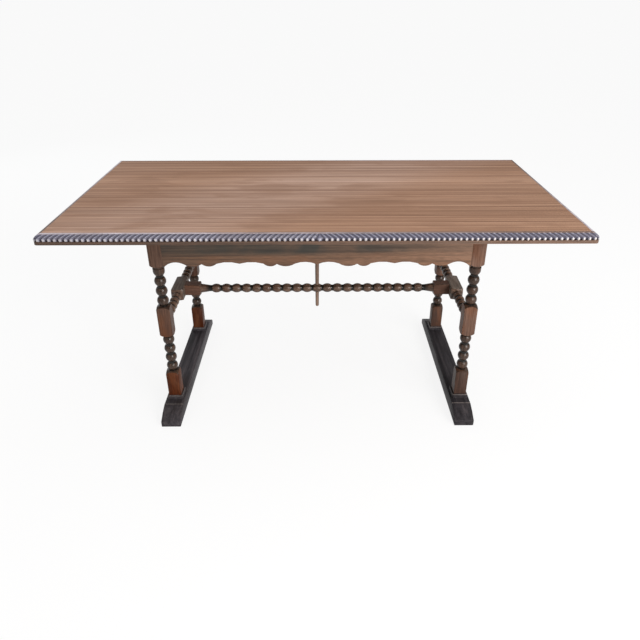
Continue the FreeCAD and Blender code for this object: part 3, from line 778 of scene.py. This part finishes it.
@dataclass
class CarvedEdge:
    """The mitred mouldings round the top, gadrooned with slanting lobes that meet at each side's middle.

    A lobe is a slanting stroke that ends in a bead. Crests are the widths of the painted sheen on strokes and
    the painted highlights on beads, in half lobes, and the turn is where the stroke becomes the bead, as a
    share of the way down the carving.
    """

    width: float = 0.022
    band_height: float = 0.010
    band_setback: float = 0.0008
    lip: float = 0.0018
    lip_run: float = 0.0025
    lip_swell: float = 0.0006
    lip_steps: int = 3
    carved_reach: float = 0.0145
    stroke_rise: float = 0.0006
    stroke_steps: int = 4
    bead_height: float = 0.0102
    bead_setback: float = 0.0024
    bead_bulge: float = 0.0023
    lobe_pitch: float = 0.0165
    lobe_slant: float = 0.0185
    petal_half: float = 0.0118
    petal_sheen: float = 0.5
    slant_growth: float = 0.0045
    stroke_depth: float = 0.0028
    stroke_power: float = 1.4
    stroke_crest: float = 0.3
    bead_depth: float = 0.0056
    bead_width: float = 0.68
    bead_crest: float = 0.5
    lobe_steps: tuple[float, ...] = (0.0, 0.12, 0.35, 0.5, 0.65, 0.88)
    start_share: float = 0.2
    turn_share: float = 0.57
    turn_before: float = 0.08
    turn_after: float = 0.06
    crest_share: float = 0.7
    left_dull: float = 0.5
    left_lighter_grooves: float = 0.3
    right_dull: float = 0.5
    front_shift: float = 0.008
    corner_radius: float = 0.014

    def section(self, low: float, high: float) -> tuple[list[Vector], int]:
        """The moulding's section as distance in from the edge and height.

        Args:
            low: Height of the underside.
            high: Height of the top.

        Returns:
            The points, carved ones first and the last the same as the first, and the number carved.
        """
        ledge = low + self.band_height
        drawn = Outline().line(self.carved_reach, high - self.lip)
        drawn.arc(self.bead_setback, ledge + self.bead_height, -self.stroke_rise, self.stroke_steps)
        drawn.arc(self.bead_setback, ledge, -self.bead_bulge)
        carved = len(drawn.points)
        drawn.line(self.band_setback, ledge).line(self.band_setback, low).line(self.width, low)
        drawn.line(self.width, high).line(self.carved_reach + self.lip_run, high)
        drawn.arc(self.carved_reach, high - self.lip, -self.lip_swell, self.lip_steps)
        return drawn.points, carved

    def swell(self, across: float, share: float) -> tuple[float, float]:
        """The round of a lobe: a ridge along its stroke, then a bead.

        Args:
            across: Place across the lobe, from -1 to 1.
            share: The share of the way down the carving.

        Returns:
            How far the surface stands back from the section, and its share of painted sheen, highlight and
            wear.
        """
        bead = ramp_share(share, self.turn_share - self.turn_before, self.turn_share + self.turn_after)
        ridge = 1 - abs(across) ** self.stroke_power
        ball = math.sqrt(max(0.0, 1 - (across / self.bead_width) ** 2))
        fall = ramp_share(share, 0, self.turn_share)
        stroke_depth = self.stroke_depth * (self.start_share + (1 - self.start_share) * fall)
        back = (1 - bead) * stroke_depth * (1 - ridge) + bead * self.bead_depth * (1 - ball)
        stroke_sheen = HALF_LIGHT_AND_WEAR * max(0.0, 1 - abs(across) / self.stroke_crest)
        bead_highlight = max(0.0, 1 - (across / self.bead_crest) ** 2)
        bead_highlight *= ramp_share(share, self.turn_share, self.crest_share)
        return back, (1 - bead) * stroke_sheen + bead * bead_highlight

    def boundary(self, index: int, share: float) -> float:
        """Place along the side of the groove before a lobe.

        Args:
            index: The lobe's number from the middle.
            share: The share of the way down the carving.

        Returns:
            The distance from the middle.
        """
        step = index if index > 0 else index - 1
        lobes = abs(step) - 1
        slant = min(self.lobe_slant, self.petal_half + lobes * self.slant_growth)
        rest = 1 - ramp_share(share, 0, self.turn_share)
        return math.copysign(self.petal_half + lobes * self.lobe_pitch - slant * rest, step)

    def strip(self, length: float, low: float, high: float, shift: float) -> BMesh:
        """The straight moulding along X, its outer edge on Y zero and its inside towards +Y.

        Args:
            length: Length of the side of the top.
            low: Height of the underside.
            high: Height of the top.
            shift: How far the carving's middle stands to the right of the side's.

        Returns:
            The moulding, a little longer than the side.
        """
        section, carved = self.section(low, high)
        chain = section[:carved]
        steps = [0.0, *((after - before).length for before, after in zip(chain, chain[1:]))]
        down = [reached / sum(steps) for reached in accumulate(steps)]
        each_side = math.ceil(length / 2 / self.lobe_pitch) + 1
        lobe_columns = len(self.lobe_steps)
        columns = (2 * each_side + 1) * lobe_columns
        rows = len(section) - 1
        bm = bmesh.new()
        bmesh.ops.create_grid(bm, x_segments=columns, y_segments=rows, size=1)
        clean_and_lit = bm.verts.layers.float.new(CLEAN_AND_LIT)
        worn = bm.verts.layers.float.new(PAINTED_LIGHT_AND_WEAR)
        for vert in bm.verts:
            column = round((vert.co.x + 1) / 2 * columns)
            row = round((vert.co.y + 1) / 2 * rows)
            lobe, part = divmod(column, lobe_columns)
            across = self.lobe_steps[part]
            share = down[row] if row < carved else ramp_share(row, rows, carved - 1)
            left, right = (self.boundary(lobe + step - each_side, share) for step in (0, 1))
            point, x = section[row], left + (right - left) * across + shift
            along = ramp_share(x, -length / 2, length / 2)
            # On the band and the lip painted light changes from left to right: the band grows paler and the
            # lip's painted sheen gives way to brown
            vert[clean_and_lit], vert[worn] = 1.0, along
            if row < carved:
                way = (section[row + 1] - section[max(row - 1, 0)]).normalized()
                if row == carved - 1:
                    way = Vector((0, -1))
                back, light_and_wear_share = self.swell(2 * across - 1, share)
                light_and_wear_share *= self.petal_sheen if lobe == each_side else 1.0
                # The painted sheen on the strokes fades towards the right, and the painted highlights on the
                # beads towards the left
                if share < self.turn_share:
                    light_and_wear_share *= 1 - self.right_dull * along
                highlight_part = max(light_and_wear_share - HALF_LIGHT_AND_WEAR, 0) * (1 - self.left_dull * (1 - along))
                vert[worn] = min(light_and_wear_share, HALF_LIGHT_AND_WEAR) + highlight_part
                # Grime and painted shade in the grooves between the lobes, lighter towards the left
                vert[clean_and_lit] = max(1 - abs(2 * across - 1), self.left_lighter_grooves * (1 - along))
                point = point + Vector((-way.y, way.x)) * back
            vert.co = (x, point.x, point.y)
        for face in bm.faces:
            heights = [vert.co.z for vert in face.verts]
            if min(heights) > high - self.lip - MERGE_DISTANCE:
                face.material_index = EdgePart.LIP.value
            elif max(heights) < low + self.band_height + MERGE_DISTANCE:
                face.material_index = EdgePart.BAND.value
        bmesh.ops.remove_doubles(bm, verts=bm.verts, dist=MERGE_DISTANCE)
        return bm

    def build(self, node: str, side: Side) -> BMesh:
        """One moulding, mitred at its ends, with the corners of the top rounded.

        Args:
            node: Its CAD node.
            side: The side of the top.

        Returns:
            The moulding in its place.
        """
        low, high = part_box(node)
        wide, deep = (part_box("edge_moulding_right")[1].x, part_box("edge_moulding_rear")[1].y)
        reach, half = (deep, wide) if side.grain is Grain.LENGTH else (wide, deep)
        length = 2 * half
        bm = self.strip(length, low.z, high.z, self.front_shift if side is Side.FRONT else 0.0)
        for hand in (-1, 1):
            cut_flat(bm, Vector((hand * half, 0, 0)), Vector((hand, 1, 0)))
        self.round_corners(bm, half - self.corner_radius)
        to_side(bm, side, reach)
        return bm

    def round_corners(self, bm: BMesh, straight: float) -> None:
        """Draws the mitred tips in, so that the top's corners are round in plan.

        Args:
            bm: The moulding along X.
            straight: Distance from its middle to where the rounding starts.
        """
        for vert in bm.verts:
            past = abs(vert.co.x) - straight
            out = self.corner_radius - vert.co.y
            if past > 0 and out > 0:
                scale = max(past, out) / math.hypot(past, out)
                vert.co.x = math.copysign(straight + past * scale, vert.co.x)
                vert.co.y = self.corner_radius - out * scale

    def dress(self, side: Side) -> list[Material]:
        """Dark polish with painted reflection and highlights on the carving, brown on the band below it, and
        a lip with a painted sheen above.
        """
        finishes = {EdgePart.CARVING: CARVED_POLISH_AND_SHEEN, EdgePart.BAND: BAND_POLISH_AND_LIGHT, EdgePart.LIP: LIP_SHEEN}
        return [finishes[part].material(side.grain) for part in EdgePart]

    def make(self) -> None:
        """Builds and dresses the four mouldings."""
        for side in Side:
            node = f"edge_moulding_{side.name.lower()}"
            place_piece(self.build(node, side), node, "edge_wood", *self.dress(side))


@dataclass
class Billet:
    """A square billet on the lathe, drawn from one end: blocks stay square and the rest is turned.

    Bobbins and the cup's rim are shares of a pitch, the collar over the cup a share of a bobbin's width,
    and the radius at which a block is clear of the lathe's cut a share of the billet's width.
    """

    width: float
    bobbin: float
    neck: float
    shoulder: float
    ends: RunEnds = RunEnds.PLAIN
    height: float = 0.0
    outline: Outline = field(default_factory=lambda: Outline().line(0, 0))
    bobbin_share: float = 0.84
    shoulder_swell: float = 0.28
    clear_share: float = 0.75
    cup_rim: float = 0.29
    collar_share: float = 0.82
    arris: float = 0.0012

    def block(self, length: float, shoulders: Shoulders) -> None:
        """Leaves a length square.

        Args:
            length: Length of the block.
            shoulders: Its ends that are rounded because bobbins follow.
        """
        clear, swell = self.width * self.clear_share, -self.shoulder * self.shoulder_swell
        end = self.height + length
        if Shoulders.LOWER in shoulders:
            self.outline.arc(clear, self.height + self.shoulder, swell)
        else:
            self.outline.line(clear, self.height)
        if Shoulders.UPPER in shoulders:
            self.outline.line(clear, end - self.shoulder)
            self.outline.arc((self.bobbin if self.ends is RunEnds.FLARED else self.neck) / 2, end, swell)
        else:
            self.outline.line(clear, end)
        self.height = end

    def collar(self, length: float, diameter: float) -> None:
        """Turns a length to a plain round.

        Args:
            length: Length of the collar.
            diameter: Its diameter.
        """
        self.outline.line(diameter / 2, self.height)
        self.height += length
        self.outline.line(diameter / 2, self.height)

    def bobbins(self, length: float, count: int, ends: RunEnds = RunEnds.PLAIN) -> None:
        """Turns a length to bobbins.

        Args:
            length: Length of the run.
            count: Number of bobbins.
            ends: Whether the last is a cup with a rim and a collar above it, or both ends flare to blocks.
        """
        pitch = length / count
        reach = pitch * self.bobbin_share / 2
        swell = (self.bobbin - self.neck) / 2
        radius = (reach**2 + swell**2) / (2 * swell)
        for index in range(count):
            middle = self.height + pitch * (index + 0.5)
            if ends is RunEnds.FLARED and index == 0:
                self.outline.line(self.neck / 2, middle + reach)
                continue
            self.outline.line(self.neck / 2, middle - reach)
            if ends is RunEnds.FLARED and index == count - 1:
                self.outline.line(self.bobbin / 2, self.height + length)
            elif ends is RunEnds.CUP and index == count - 1:
                half_chord = math.hypot(reach, swell) / 2
                self.outline.arc(self.bobbin / 2, middle, math.sqrt(radius**2 - half_chord**2) - radius)
                rim = middle + pitch * self.cup_rim
                self.outline.line(self.bobbin / 2, rim)
                self.outline.line(self.bobbin / 2 * self.collar_share, rim)
                self.outline.line(self.bobbin / 2 * self.collar_share, self.height + length)
            else:
                self.outline.arc(self.neck / 2, middle + reach, -swell)
        self.height += length
        if ends is RunEnds.PLAIN:
            self.outline.line(self.neck / 2, self.height)

    def turn(self) -> BMesh:
        """The finished turning, with its blocks planed flat and their arrises eased.

        Returns:
            The turning, upright on the origin, its blocks' faces with the second finish.
        """
        self.outline.line(0, self.height)
        bm = lathe_mesh(self.outline)
        for normal in (Vector((1, 0, 0)), Vector((0, 1, 0))):
            for hand in (-1, 1):
                cut_flat(bm, normal * hand * self.width / 2, normal * hand)
        ease_edges(bm, self.arris, along=Vector((0, 0, 1)))
        deep, proud = self.neck / 2, self.bobbin / 2
        # Grime and painted shade in the necks, clean crowns
        mark(bm, CLEAN_AND_LIT, lambda place: ramp_share(math.hypot(place.x, place.y), deep, proud))
        bm.normal_update()
        for face in bm.faces:
            if max(abs(face.normal.x), abs(face.normal.y)) > FLAT_NORMAL:
                middle = face.calc_center_median()
                out = max(abs(middle.x), abs(middle.y))
                face.material_index = int(out > self.width / 2 - self.arris)
        return bm


@dataclass
class TurnedLegs:
    """The four legs: square blocks with runs of bobbins between them.

    Tints are how pale the blocks are painted at the left and right ends, paler at the right as painted light
    from that side, and lows the colours of the lowest ones.
    """

    width: float = 0.045
    bobbin: float = 0.040
    neck: float = 0.026
    shoulder: float = 0.014
    bobbin_count: int = 4
    tenon: float = 0.04
    lower_block: float = 0.102
    lower_turning: float = 0.146
    mid_block: float = 0.119
    upper_turning: float = 0.148
    tints: tuple[float, float] = (0.84, 1.34)
    lows: tuple[Colour, Colour] = ((0.08, 0.018, 0.004), (0.07, 0.038, 0.028))

    def build(self, node: str) -> BMesh:
        """One leg from its plinth to the underside of the top.

        Args:
            node: Its CAD node.

        Returns:
            The leg in its place.
        """
        low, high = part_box(node)
        foot = low.z + self.tenon
        billet = Billet(self.width, self.bobbin, self.neck, self.shoulder)
        billet.block(self.lower_block, Shoulders.UPPER)
        billet.bobbins(self.lower_turning, self.bobbin_count)
        billet.block(self.mid_block, Shoulders.BOTH)
        billet.bobbins(self.upper_turning, self.bobbin_count, RunEnds.CUP)
        billet.block(high.z - foot - billet.height, Shoulders.LOWER)
        bm = billet.turn()
        middle = (low + high) / 2
        move(bm, (middle.x, middle.y, foot))
        return bm

    def dress(self, hand: str, tint: float, low: Colour) -> list[Material]:
        """Dark polish on the turnings, and a polish on one end's blocks toned paler or darker as painted
        light, with the grain upright.
        """
        # The blocks' tint is painted light, paler at the right end
        blocks = replace(BLOCK_POLISH.tinted(hand, tint), low=low)
        return [finish.material(Grain.HEIGHT) for finish in (TURNED_POLISH, blocks)]

    def make(self) -> None:
        """Builds and dresses the four legs."""
        for hand, tint, low in zip(HANDS, self.tints, self.lows):
            finishes = self.dress(hand, tint, low)
            for depth in ("front", "rear"):
                node = f"leg_{depth}_{hand}"
                place_piece(self.build(node), node, "leg_wood", *finishes)


@dataclass
class Stretchers:
    """The two side stretchers and the long one between them."""

    side_width: float = 0.044
    side_bobbin: float = 0.035
    side_neck: float = 0.023
    side_shoulder: float = 0.008
    side_block: float = 0.126
    side_count: int = 5
    side_tenon: float = 0.026
    collar_length: float = 0.006
    collar_diameter: float = 0.031
    long_width: float = 0.041
    long_bobbin: float = 0.035
    long_neck: float = 0.024
    long_shoulder: float = 0.006
    long_block: float = 0.060
    long_count: int = 23
    long_tenon: float = 0.024
    turning_tint: float = 2.2
    block_tints: tuple[float, float] = (1.1, 1.6)

    def build_side(self, node: str) -> BMesh:
        """A side stretcher, square at its middle, from leg to leg.

        Args:
            node: Its CAD node.

        Returns:
            The stretcher in its place.
        """
        low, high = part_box(node)
        run = high.y - low.y - 2 * self.side_tenon
        turning = (run - self.side_block) / 2 - self.collar_length
        billet = Billet(self.side_width, self.side_bobbin, self.side_neck, self.side_shoulder)
        billet.collar(self.collar_length, self.collar_diameter)
        billet.bobbins(turning, self.side_count)
        billet.block(self.side_block, Shoulders.BOTH)
        billet.bobbins(turning, self.side_count)
        billet.collar(self.collar_length, self.collar_diameter)
        return self.lay(billet.turn(), run, (low + high) / 2, "X")

    def build_long(self, node: str) -> BMesh:
        """The long stretcher, square at its ends.

        Args:
            node: Its CAD node.

        Returns:
            The stretcher in its place.
        """
        low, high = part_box(node)
        run = high.x - low.x - 2 * self.long_tenon
        billet = Billet(self.long_width, self.long_bobbin, self.long_neck, self.long_shoulder,
                        RunEnds.FLARED)
        billet.block(self.long_block, Shoulders.UPPER)
        billet.bobbins(run - 2 * self.long_block, self.long_count, RunEnds.FLARED)
        billet.block(self.long_block, Shoulders.LOWER)
        return self.lay(billet.turn(), run, (low + high) / 2, "Y")

    def lay(self, bm: BMesh, run: float, middle: Vector, axis: str) -> BMesh:
        """Lays an upright turning down.

        Args:
            bm: The turning.
            run: Its length.
            middle: Where its middle goes.
            axis: The axis that it is laid down about.

        Returns:
            The same mesh.
        """
        move(bm, (0, 0, -run / 2))
        rotate(bm, QUARTER_TURN, axis)
        move(bm, middle)
        return bm

    def dress(self, blocks: WoodFinish, grain: Grain) -> list[Material]:
        """The legs' dark polish made a little paler, and another finish on the blocks."""
        turnings = TURNED_POLISH.tinted("stretcher", self.turning_tint)
        return [finish.material(grain) for finish in (turnings, blocks)]

    def make(self) -> None:
        """Builds and dresses the three stretchers."""
        for hand, tint in zip(HANDS, self.block_tints):
            node = f"side_stretcher_{hand}"
            finishes = self.dress(DUSTY_POLISH.tinted(hand, tint), Grain.DEPTH)
            place_piece(self.build_side(node), node, "leg_wood", *finishes)
        finishes = self.dress(BLOCK_POLISH, Grain.LENGTH)
        place_piece(self.build_long("long_stretcher"), "long_stretcher", "leg_wood", *finishes)


@dataclass
class ShapedRails:
    """The aprons and end rails, with a wavy lower edge between spandrels.

    Scores are where lines of edges carry the painted shadow, grime and painted light, as shares of the depth
    and of the half span.
    """

    depth: float = 0.127
    thickness: float = 0.024
    tenon: float = 0.026
    wave_drop: float = 0.015
    spandrel_drop: float = 0.021
    arris: float = 0.0011
    rubbed_from: float = 0.054
    rubbed_to: float = 0.0135
    lit_end: float = 0.37
    depth_scores: tuple[float, ...] = (0.35, 0.7, 0.8, 0.9)
    span_scores: tuple[float, ...] = (-0.75, -0.5, -0.25, 0.0, 0.25, 0.5, 0.75)
    long_waves: tuple[Wave, ...] = (
        (0.0, 0.62, 0.5), (0.142, 0.4, -0.6), (0.261, 0.5, -0.6), (0.348, 0.4, 0.38),
        (0.503, 0.4, 0.38), (0.652, 0.4, -0.6), (0.748, 0.5, -0.6), (0.871, 0.4, 0.8))
    short_waves: tuple[Wave, ...] = (
        (0.0, 0.62, 0.5), (0.3, 0.4, -0.6), (0.48, 0.5, -0.6), (0.68, 0.4, 0.8))

    def outline(self, span: float, waves: tuple[Wave, ...]) -> Outline:
        """The rail's face, its top edge at zero.

        Args:
            span: Length between the legs.
            waves: From the middle out: share of the half span, share of the drop, rise of the next arc.

        Returns:
            The closed outline.
        """
        half = span / 2
        stops = [(half * along, -self.depth - self.wave_drop * drop) for along, drop, _ in waves]
        stops.append((half, -self.depth - self.spandrel_drop))
        rises = [self.wave_drop * rise for _, _, rise in waves]
        drawn = Outline().line(-half, stops[-1][1])
        for (x, z), rise in zip(stops[-2::-1], rises[::-1]):
            drawn.arc(-x, z, rise)
        for (x, z), rise in zip(stops[1:], rises):
            drawn.arc(x, z, rise)
        return drawn.line(half, 0).line(-half, 0)

    def build(self, node: str, side: Side) -> BMesh:
        """One rail between its legs.

        Args:
            node: Its CAD node.
            side: The side of the table.

        Returns:
            The rail in its place.
        """
        low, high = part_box(node)
        along_x = side.grain is Grain.LENGTH
        span = (high.x - low.x if along_x else high.y - low.y) - 2 * self.tenon
        reach = max(abs(low.y), abs(high.y)) if along_x else max(abs(low.x), abs(high.x))
        waves = self.long_waves if along_x else self.short_waves
        bm = slab_mesh(self.outline(span, waves), self.thickness)
        ease_edges(bm, self.arris)
        for share in self.depth_scores:
            score(bm, (0, 0, -self.depth * share), (0, 0, 1))
        for share in self.span_scores:
            score(bm, (span / 2 * share, 0, 0), (1, 0, 0))
        # Painted shadow of the top with grime under it, clearing towards the lower edge and the right end,
        # and painted light growing towards the right end
        mark(bm, CLEAN_AND_LIT, lambda place: self.rubbed(place, span))
        mark(bm, PAINTED_LIGHT_AND_WEAR, lambda place: ramp_share(place.x, -span / 2, span / 2))
        to_side(bm, side, reach, high.z)
        return bm

    def rubbed(self, place: Vector, span: float) -> float:
        """How clean and lit the rail is painted at a place: the painted shadow of the top and its grime clear
        towards the lower edge, and painted light grows towards the right end.

        Args:
            place: A place on the rail before it is turned to its side.
            span: Length between the legs.

        Returns:
            The share.
        """
        edge = -self.depth - self.wave_drop
        lower = ramp_share(place.z, edge + self.rubbed_from, edge + self.rubbed_to)
        return lower + self.lit_end * ramp_share(place.x, 0, span / 2)

    def dress(self, grain: Grain) -> Material:
        """Polish with grime and the painted shadow of the top grey under it, painted light warm at the lower
        edge and paler towards the right end.
        """
        return APRON_POLISH_AND_SHADE.material(grain)

    def make(self) -> None:
        """Builds and dresses the four rails."""
        finishes = {grain: self.dress(grain) for grain in (Grain.LENGTH, Grain.DEPTH)}
        for node, side in (("front_apron", Side.FRONT), ("rear_apron", Side.REAR),
                           ("left_end_rail", Side.LEFT), ("right_end_rail", Side.RIGHT)):
            place_piece(self.build(node, side), node, "rail_wood", finishes[side.grain])


@dataclass
class SledFeet:
    """The two sled feet, with sloped toes and a raised plinth under each leg."""

    height: float = 0.05
    toe_height: float = 0.022
    toe_slope: float = 0.071
    toe_swell: float = 0.003
    plinth_width: float = 0.057
    leg_axis: float = 0.253
    arris: float = 0.003
    worn_width: float = 0.003
    tints: tuple[float, float] = (1.32, 0.86)

    def build(self, node: str) -> BMesh:
        """One foot with its plinths.

        Args:
            node: Its CAD node.

        Returns:
            The foot in its place.
        """
        low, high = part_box(node)
        half, width = (high.y - low.y) / 2, high.x - low.x
        drawn = Outline().line(-half, 0).line(half, 0).line(half, self.toe_height)
        drawn.arc(half - self.toe_slope, self.height, -self.toe_swell)
        drawn.line(self.toe_slope - half, self.height).arc(-half, self.toe_height, -self.toe_swell)
        bm = slab_mesh(drawn, width)
        ease_edges(bm, self.arris)
        rotate(bm, QUARTER_TURN, "Z")
        move(bm, (high.x, 0, 0))
        middle, toe_break = (low.x + high.x) / 2, half - self.toe_slope
        # Lines of edges round each toe break, to carry its painted highlight
        for hand in (-1, 1):
            for step in (-self.worn_width, 0, self.worn_width):
                score(bm, (0, hand * (toe_break + step), 0), (0, 1, 0))
        for hand in (-1, 1):
            self.add_plinth(bm, Vector((middle, hand * self.leg_axis, self.height)), high.z - self.height)
        # Darker towards the bottom
        mark(bm, CLEAN_AND_LIT, lambda place: ramp_share(place.z, -self.toe_height, self.toe_height))
        mark(bm, PAINTED_LIGHT_AND_WEAR, lambda place: self.worn_share(place, toe_break, high.z))
        return bm

    def worn_share(self, place: Vector, toe_break: float, top: float) -> float:
        """Where the foot gets painted highlights: at the break of each toe and round the plinths' upper
        edges.

        Args:
            place: A place on the foot.
            toe_break: Distance of the breaks from the middle.
            top: Height of the plinths.

        Returns:
            The share.
        """
        near_break = 1 - ramp_share(abs(abs(place.y) - toe_break), 0, self.worn_width)
        on_top = ramp_share(place.z, self.height - self.arris, self.height)
        at_edge = float(top - self.arris < place.z - MERGE_DISTANCE < top - 2 * MERGE_DISTANCE)
        return max(near_break * on_top, at_edge)

    def add_plinth(self, bm: BMesh, foot: Vector, height: float) -> None:
        """Sets a plinth on the foot, its upper edges eased.

        Args:
            bm: The foot's mesh.
            foot: Middle of the plinth's underside.
            height: Height of the plinth.
        """
        half = self.plinth_width / 2
        verts = add_box(bm, foot - Vector((half, half, 0)), foot + Vector((half, half, height)))
        edges = {edge for vert in verts for edge in vert.link_edges
                 if max(end.co.z for end in edge.verts) > foot.z + height / 2}
        round_over(bm, list(edges), self.arris, segments=2)

    def dress(self, hand: str, tint: float) -> Material:
        """One foot's near-black polish, with its grain along the foot."""
        return FOOT_POLISH_AND_HIGHLIGHTS.tinted(hand, tint).material(Grain.DEPTH)

    def make(self) -> None:
        """Builds and dresses both feet."""
        for hand, tint in zip(HANDS, self.tints):
            node = f"foot_{hand}"
            place_piece(self.build(node), node, "foot_wood", self.dress(hand, tint))


@dataclass
class CentrePeg:
    """The tapered peg that hangs through the long stretcher."""

    head: float = 0.018
    tip: float = 0.013
    tip_swell: float = 0.146
    socket: float = 0.028
    dark_tip: float = 0.02

    def build(self, node: str) -> BMesh:
        """The peg, rounded at its tip.

        Args:
            node: Its CAD node.

        Returns:
            The peg in its place.
        """
        low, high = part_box(node)
        length = high.z - low.z
        drawn = Outline().line(0, 0).arc(self.tip / 2, self.tip / 2, -self.tip * self.tip_swell)
        drawn.line(self.head / 2, length - self.socket).line(self.head / 2, length).line(0, length)
        bm = lathe_mesh(drawn)
        # Darker towards the tip
        mark(bm, CLEAN_AND_LIT, lambda place: ramp_share(place.z, -self.dark_tip, self.dark_tip))
        middle = (low + high) / 2
        move(bm, (middle.x, middle.y, low.z))
        return bm

    def dress(self) -> Material:
        """Bare pale wood with its grain upright."""
        return PEG_WOOD.material(Grain.HEIGHT)

    def make(self) -> None:
        """Builds and dresses the peg."""
        place_piece(self.build("centre_peg"), "centre_peg", "peg_wood", self.dress())


@dataclass
class HiddenJoinery:
    """The bearer, buttons and screws under the top, which keep their CAD shapes."""

    wood_nodes: tuple[str, ...] = ("centre_bearer", "top_buttons")
    steel_nodes: tuple[str, ...] = ("button_screws",)

    def dress(self) -> None:
        """Gives each node its finish."""
        for names, material in ((self.wood_nodes, INNER_WOOD.material(Grain.DEPTH)),
                                (self.steel_nodes, SCREW_STEEL.material())):
            for name in names:
                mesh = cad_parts[name].data
                mesh.materials.clear()
                mesh.materials.append(material)
                LOG.info("%s keeps its CAD shape", name)


# Studio


@dataclass(frozen=True)
class Lamp:
    """A square lamp."""

    name: str
    place: Place
    size: float
    power: float
    colour: Colour

    def hang(self, aim: Vector) -> None:
        """Hangs the lamp in its place.

        Args:
            aim: The point that it looks at.
        """
        light = bpy.data.lights.new(self.name, "AREA")
        light.size = self.size
        light.energy = self.power
        light.color = self.colour
        place = Vector(self.place)
        turned = (aim - place).to_track_quat("-Z", "Y").to_matrix().to_4x4()
        new_object(self.name, light).matrix_world = Matrix.Translation(place) @ turned


# A broad lamp and a small one at the front right, and a window behind
LAMPS = (Lamp("key_lamp", (2.64, -3.6, 1.87), size=3.4, power=207.0, colour=(1.0, 0.97, 0.93)),
         Lamp("glint_lamp", (1.87, -3.2, 1.68), size=0.5, power=26.0, colour=(1.0, 0.98, 0.96)),
         Lamp("window", (-2.7, 3.6, 1.9), size=1.4, power=11.0, colour=(0.88, 0.95, 1.0)))


@dataclass
class Studio:
    """The floor, the light and the camera."""

    camera_place: Place = (0.0, -2.0714, 1.3848)
    pitch: float = math.radians(29.15)
    yaw: float = math.radians(0.30)
    roll: float = math.radians(0.08)
    focal_pixels: float = 592.2
    sensor: float = 36.0
    floor_reach: float = 150.0
    floor_colour: Colour = (0.93, 0.93, 0.93)
    bounce_colour: Colour = (0.45, 0.44, 0.42)
    glow_share: float = 0.86
    sky_colour: Colour = (0.98, 0.98, 0.98)
    sky_levels: tuple[float, float] = (0.32, 0.85)
    aim: Place = (0.0, 0.0, 0.55)

    def build_floor(self) -> None:
        """A plain pale floor that shows white and keeps the shadow."""
        bm = bmesh.new()
        bmesh.ops.create_grid(bm, x_segments=1, y_segments=1, size=self.floor_reach)
        mesh = finished_mesh("floor_mesh", bm)
        floor = new_object("floor", mesh)
        material, sheet = blank_material("floor_paint")
        paint, bounced = (sheet.add("ShaderNodeBsdfDiffuse", {"Color": (*colour, 1)}).outputs[0]
                          for colour in (self.floor_colour, self.bounce_colour))
        glow = sheet.add("ShaderNodeEmission", {"Strength": 1.0}).outputs[0]
        seen = sheet.add("ShaderNodeMixShader", {0: self.glow_share, 1: paint, 2: glow}).outputs[0]
        both = sheet.add("ShaderNodeMixShader", {0: self.shown_rays(sheet), 1: bounced, 2: seen}).outputs[0]
        sheet.add("ShaderNodeOutputMaterial", {0: both})
        mesh.materials.append(material)

    def shown_rays(self, sheet: NodeSheet) -> NodeSocket:
        """Tells rays that show the background, to the camera or in a reflection, from the rest.

        Args:
            sheet: The floor's nodes.

        Returns:
            A socket that is one for those rays and zero for the rest.
        """
        rays = sheet.add("ShaderNodeLightPath").outputs
        first = sheet.combine("MAXIMUM", rays["Is Camera Ray"], rays["Is Glossy Ray"])
        return sheet.combine("MAXIMUM", first, rays["Is Transmission Ray"])

    def build_light(self) -> None:
        """A soft sky that is brighter overhead, and the lamps."""
        world = bpy.data.worlds.new("soft_sky")
        bpy.context.scene.world = world
        world.use_nodes = True
        sheet = NodeSheet(world.node_tree)
        height = sheet.axis(sheet.add("ShaderNodeTexCoord").outputs["Generated"], "Z")
        level = sheet.remap(height, 0.0, 1.0, *self.sky_levels)
        sky = sheet.add("ShaderNodeBackground", {"Color": (*self.sky_colour, 1), "Strength": level})
        sheet.add("ShaderNodeOutputWorld", {0: sky.outputs[0]})
        for lamp in LAMPS:
            lamp.hang(Vector(self.aim))

    def build_camera(self) -> None:
        """A camera at the photograph's angle, for a square frame."""
        level = Vector((math.sin(self.yaw), math.cos(self.yaw), 0)) * math.cos(self.pitch)
        forward = level - Vector((0, 0, math.sin(self.pitch)))
        right = Vector((math.cos(self.yaw), -math.sin(self.yaw), 0))
        right = Matrix.Rotation(self.roll, 3, forward) @ right
        up = right.cross(forward)
        data = bpy.data.cameras.new("camera")
        data.sensor_width = self.sensor
        data.lens = self.sensor * self.focal_pixels / PHOTO_PIXELS
        camera = new_object("camera", data)
        turned = Matrix((right, up, -forward)).transposed().to_4x4()
        camera.matrix_world = Matrix.Translation(self.camera_place) @ turned
        bpy.context.scene.camera = camera

    def make(self) -> None:
        """Sets up the studio."""
        self.build_floor()
        self.build_light()
        self.build_camera()
        bpy.context.scene.view_settings.view_transform = "Standard"


def main() -> None:
    """Builds the table's sub-assemblies in order, then the studio."""
    logging.basicConfig(level=logging.INFO, format="%(name)s: %(message)s")
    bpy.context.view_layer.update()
    for part in (BoardedTop(), CarvedEdge(), ShapedRails(), TurnedLegs(), Stretchers(), SledFeet(),
                 CentrePeg()):
        part.make()
    HiddenJoinery().dress()
    Studio().make()


if __name__ == "__main__":
    main()
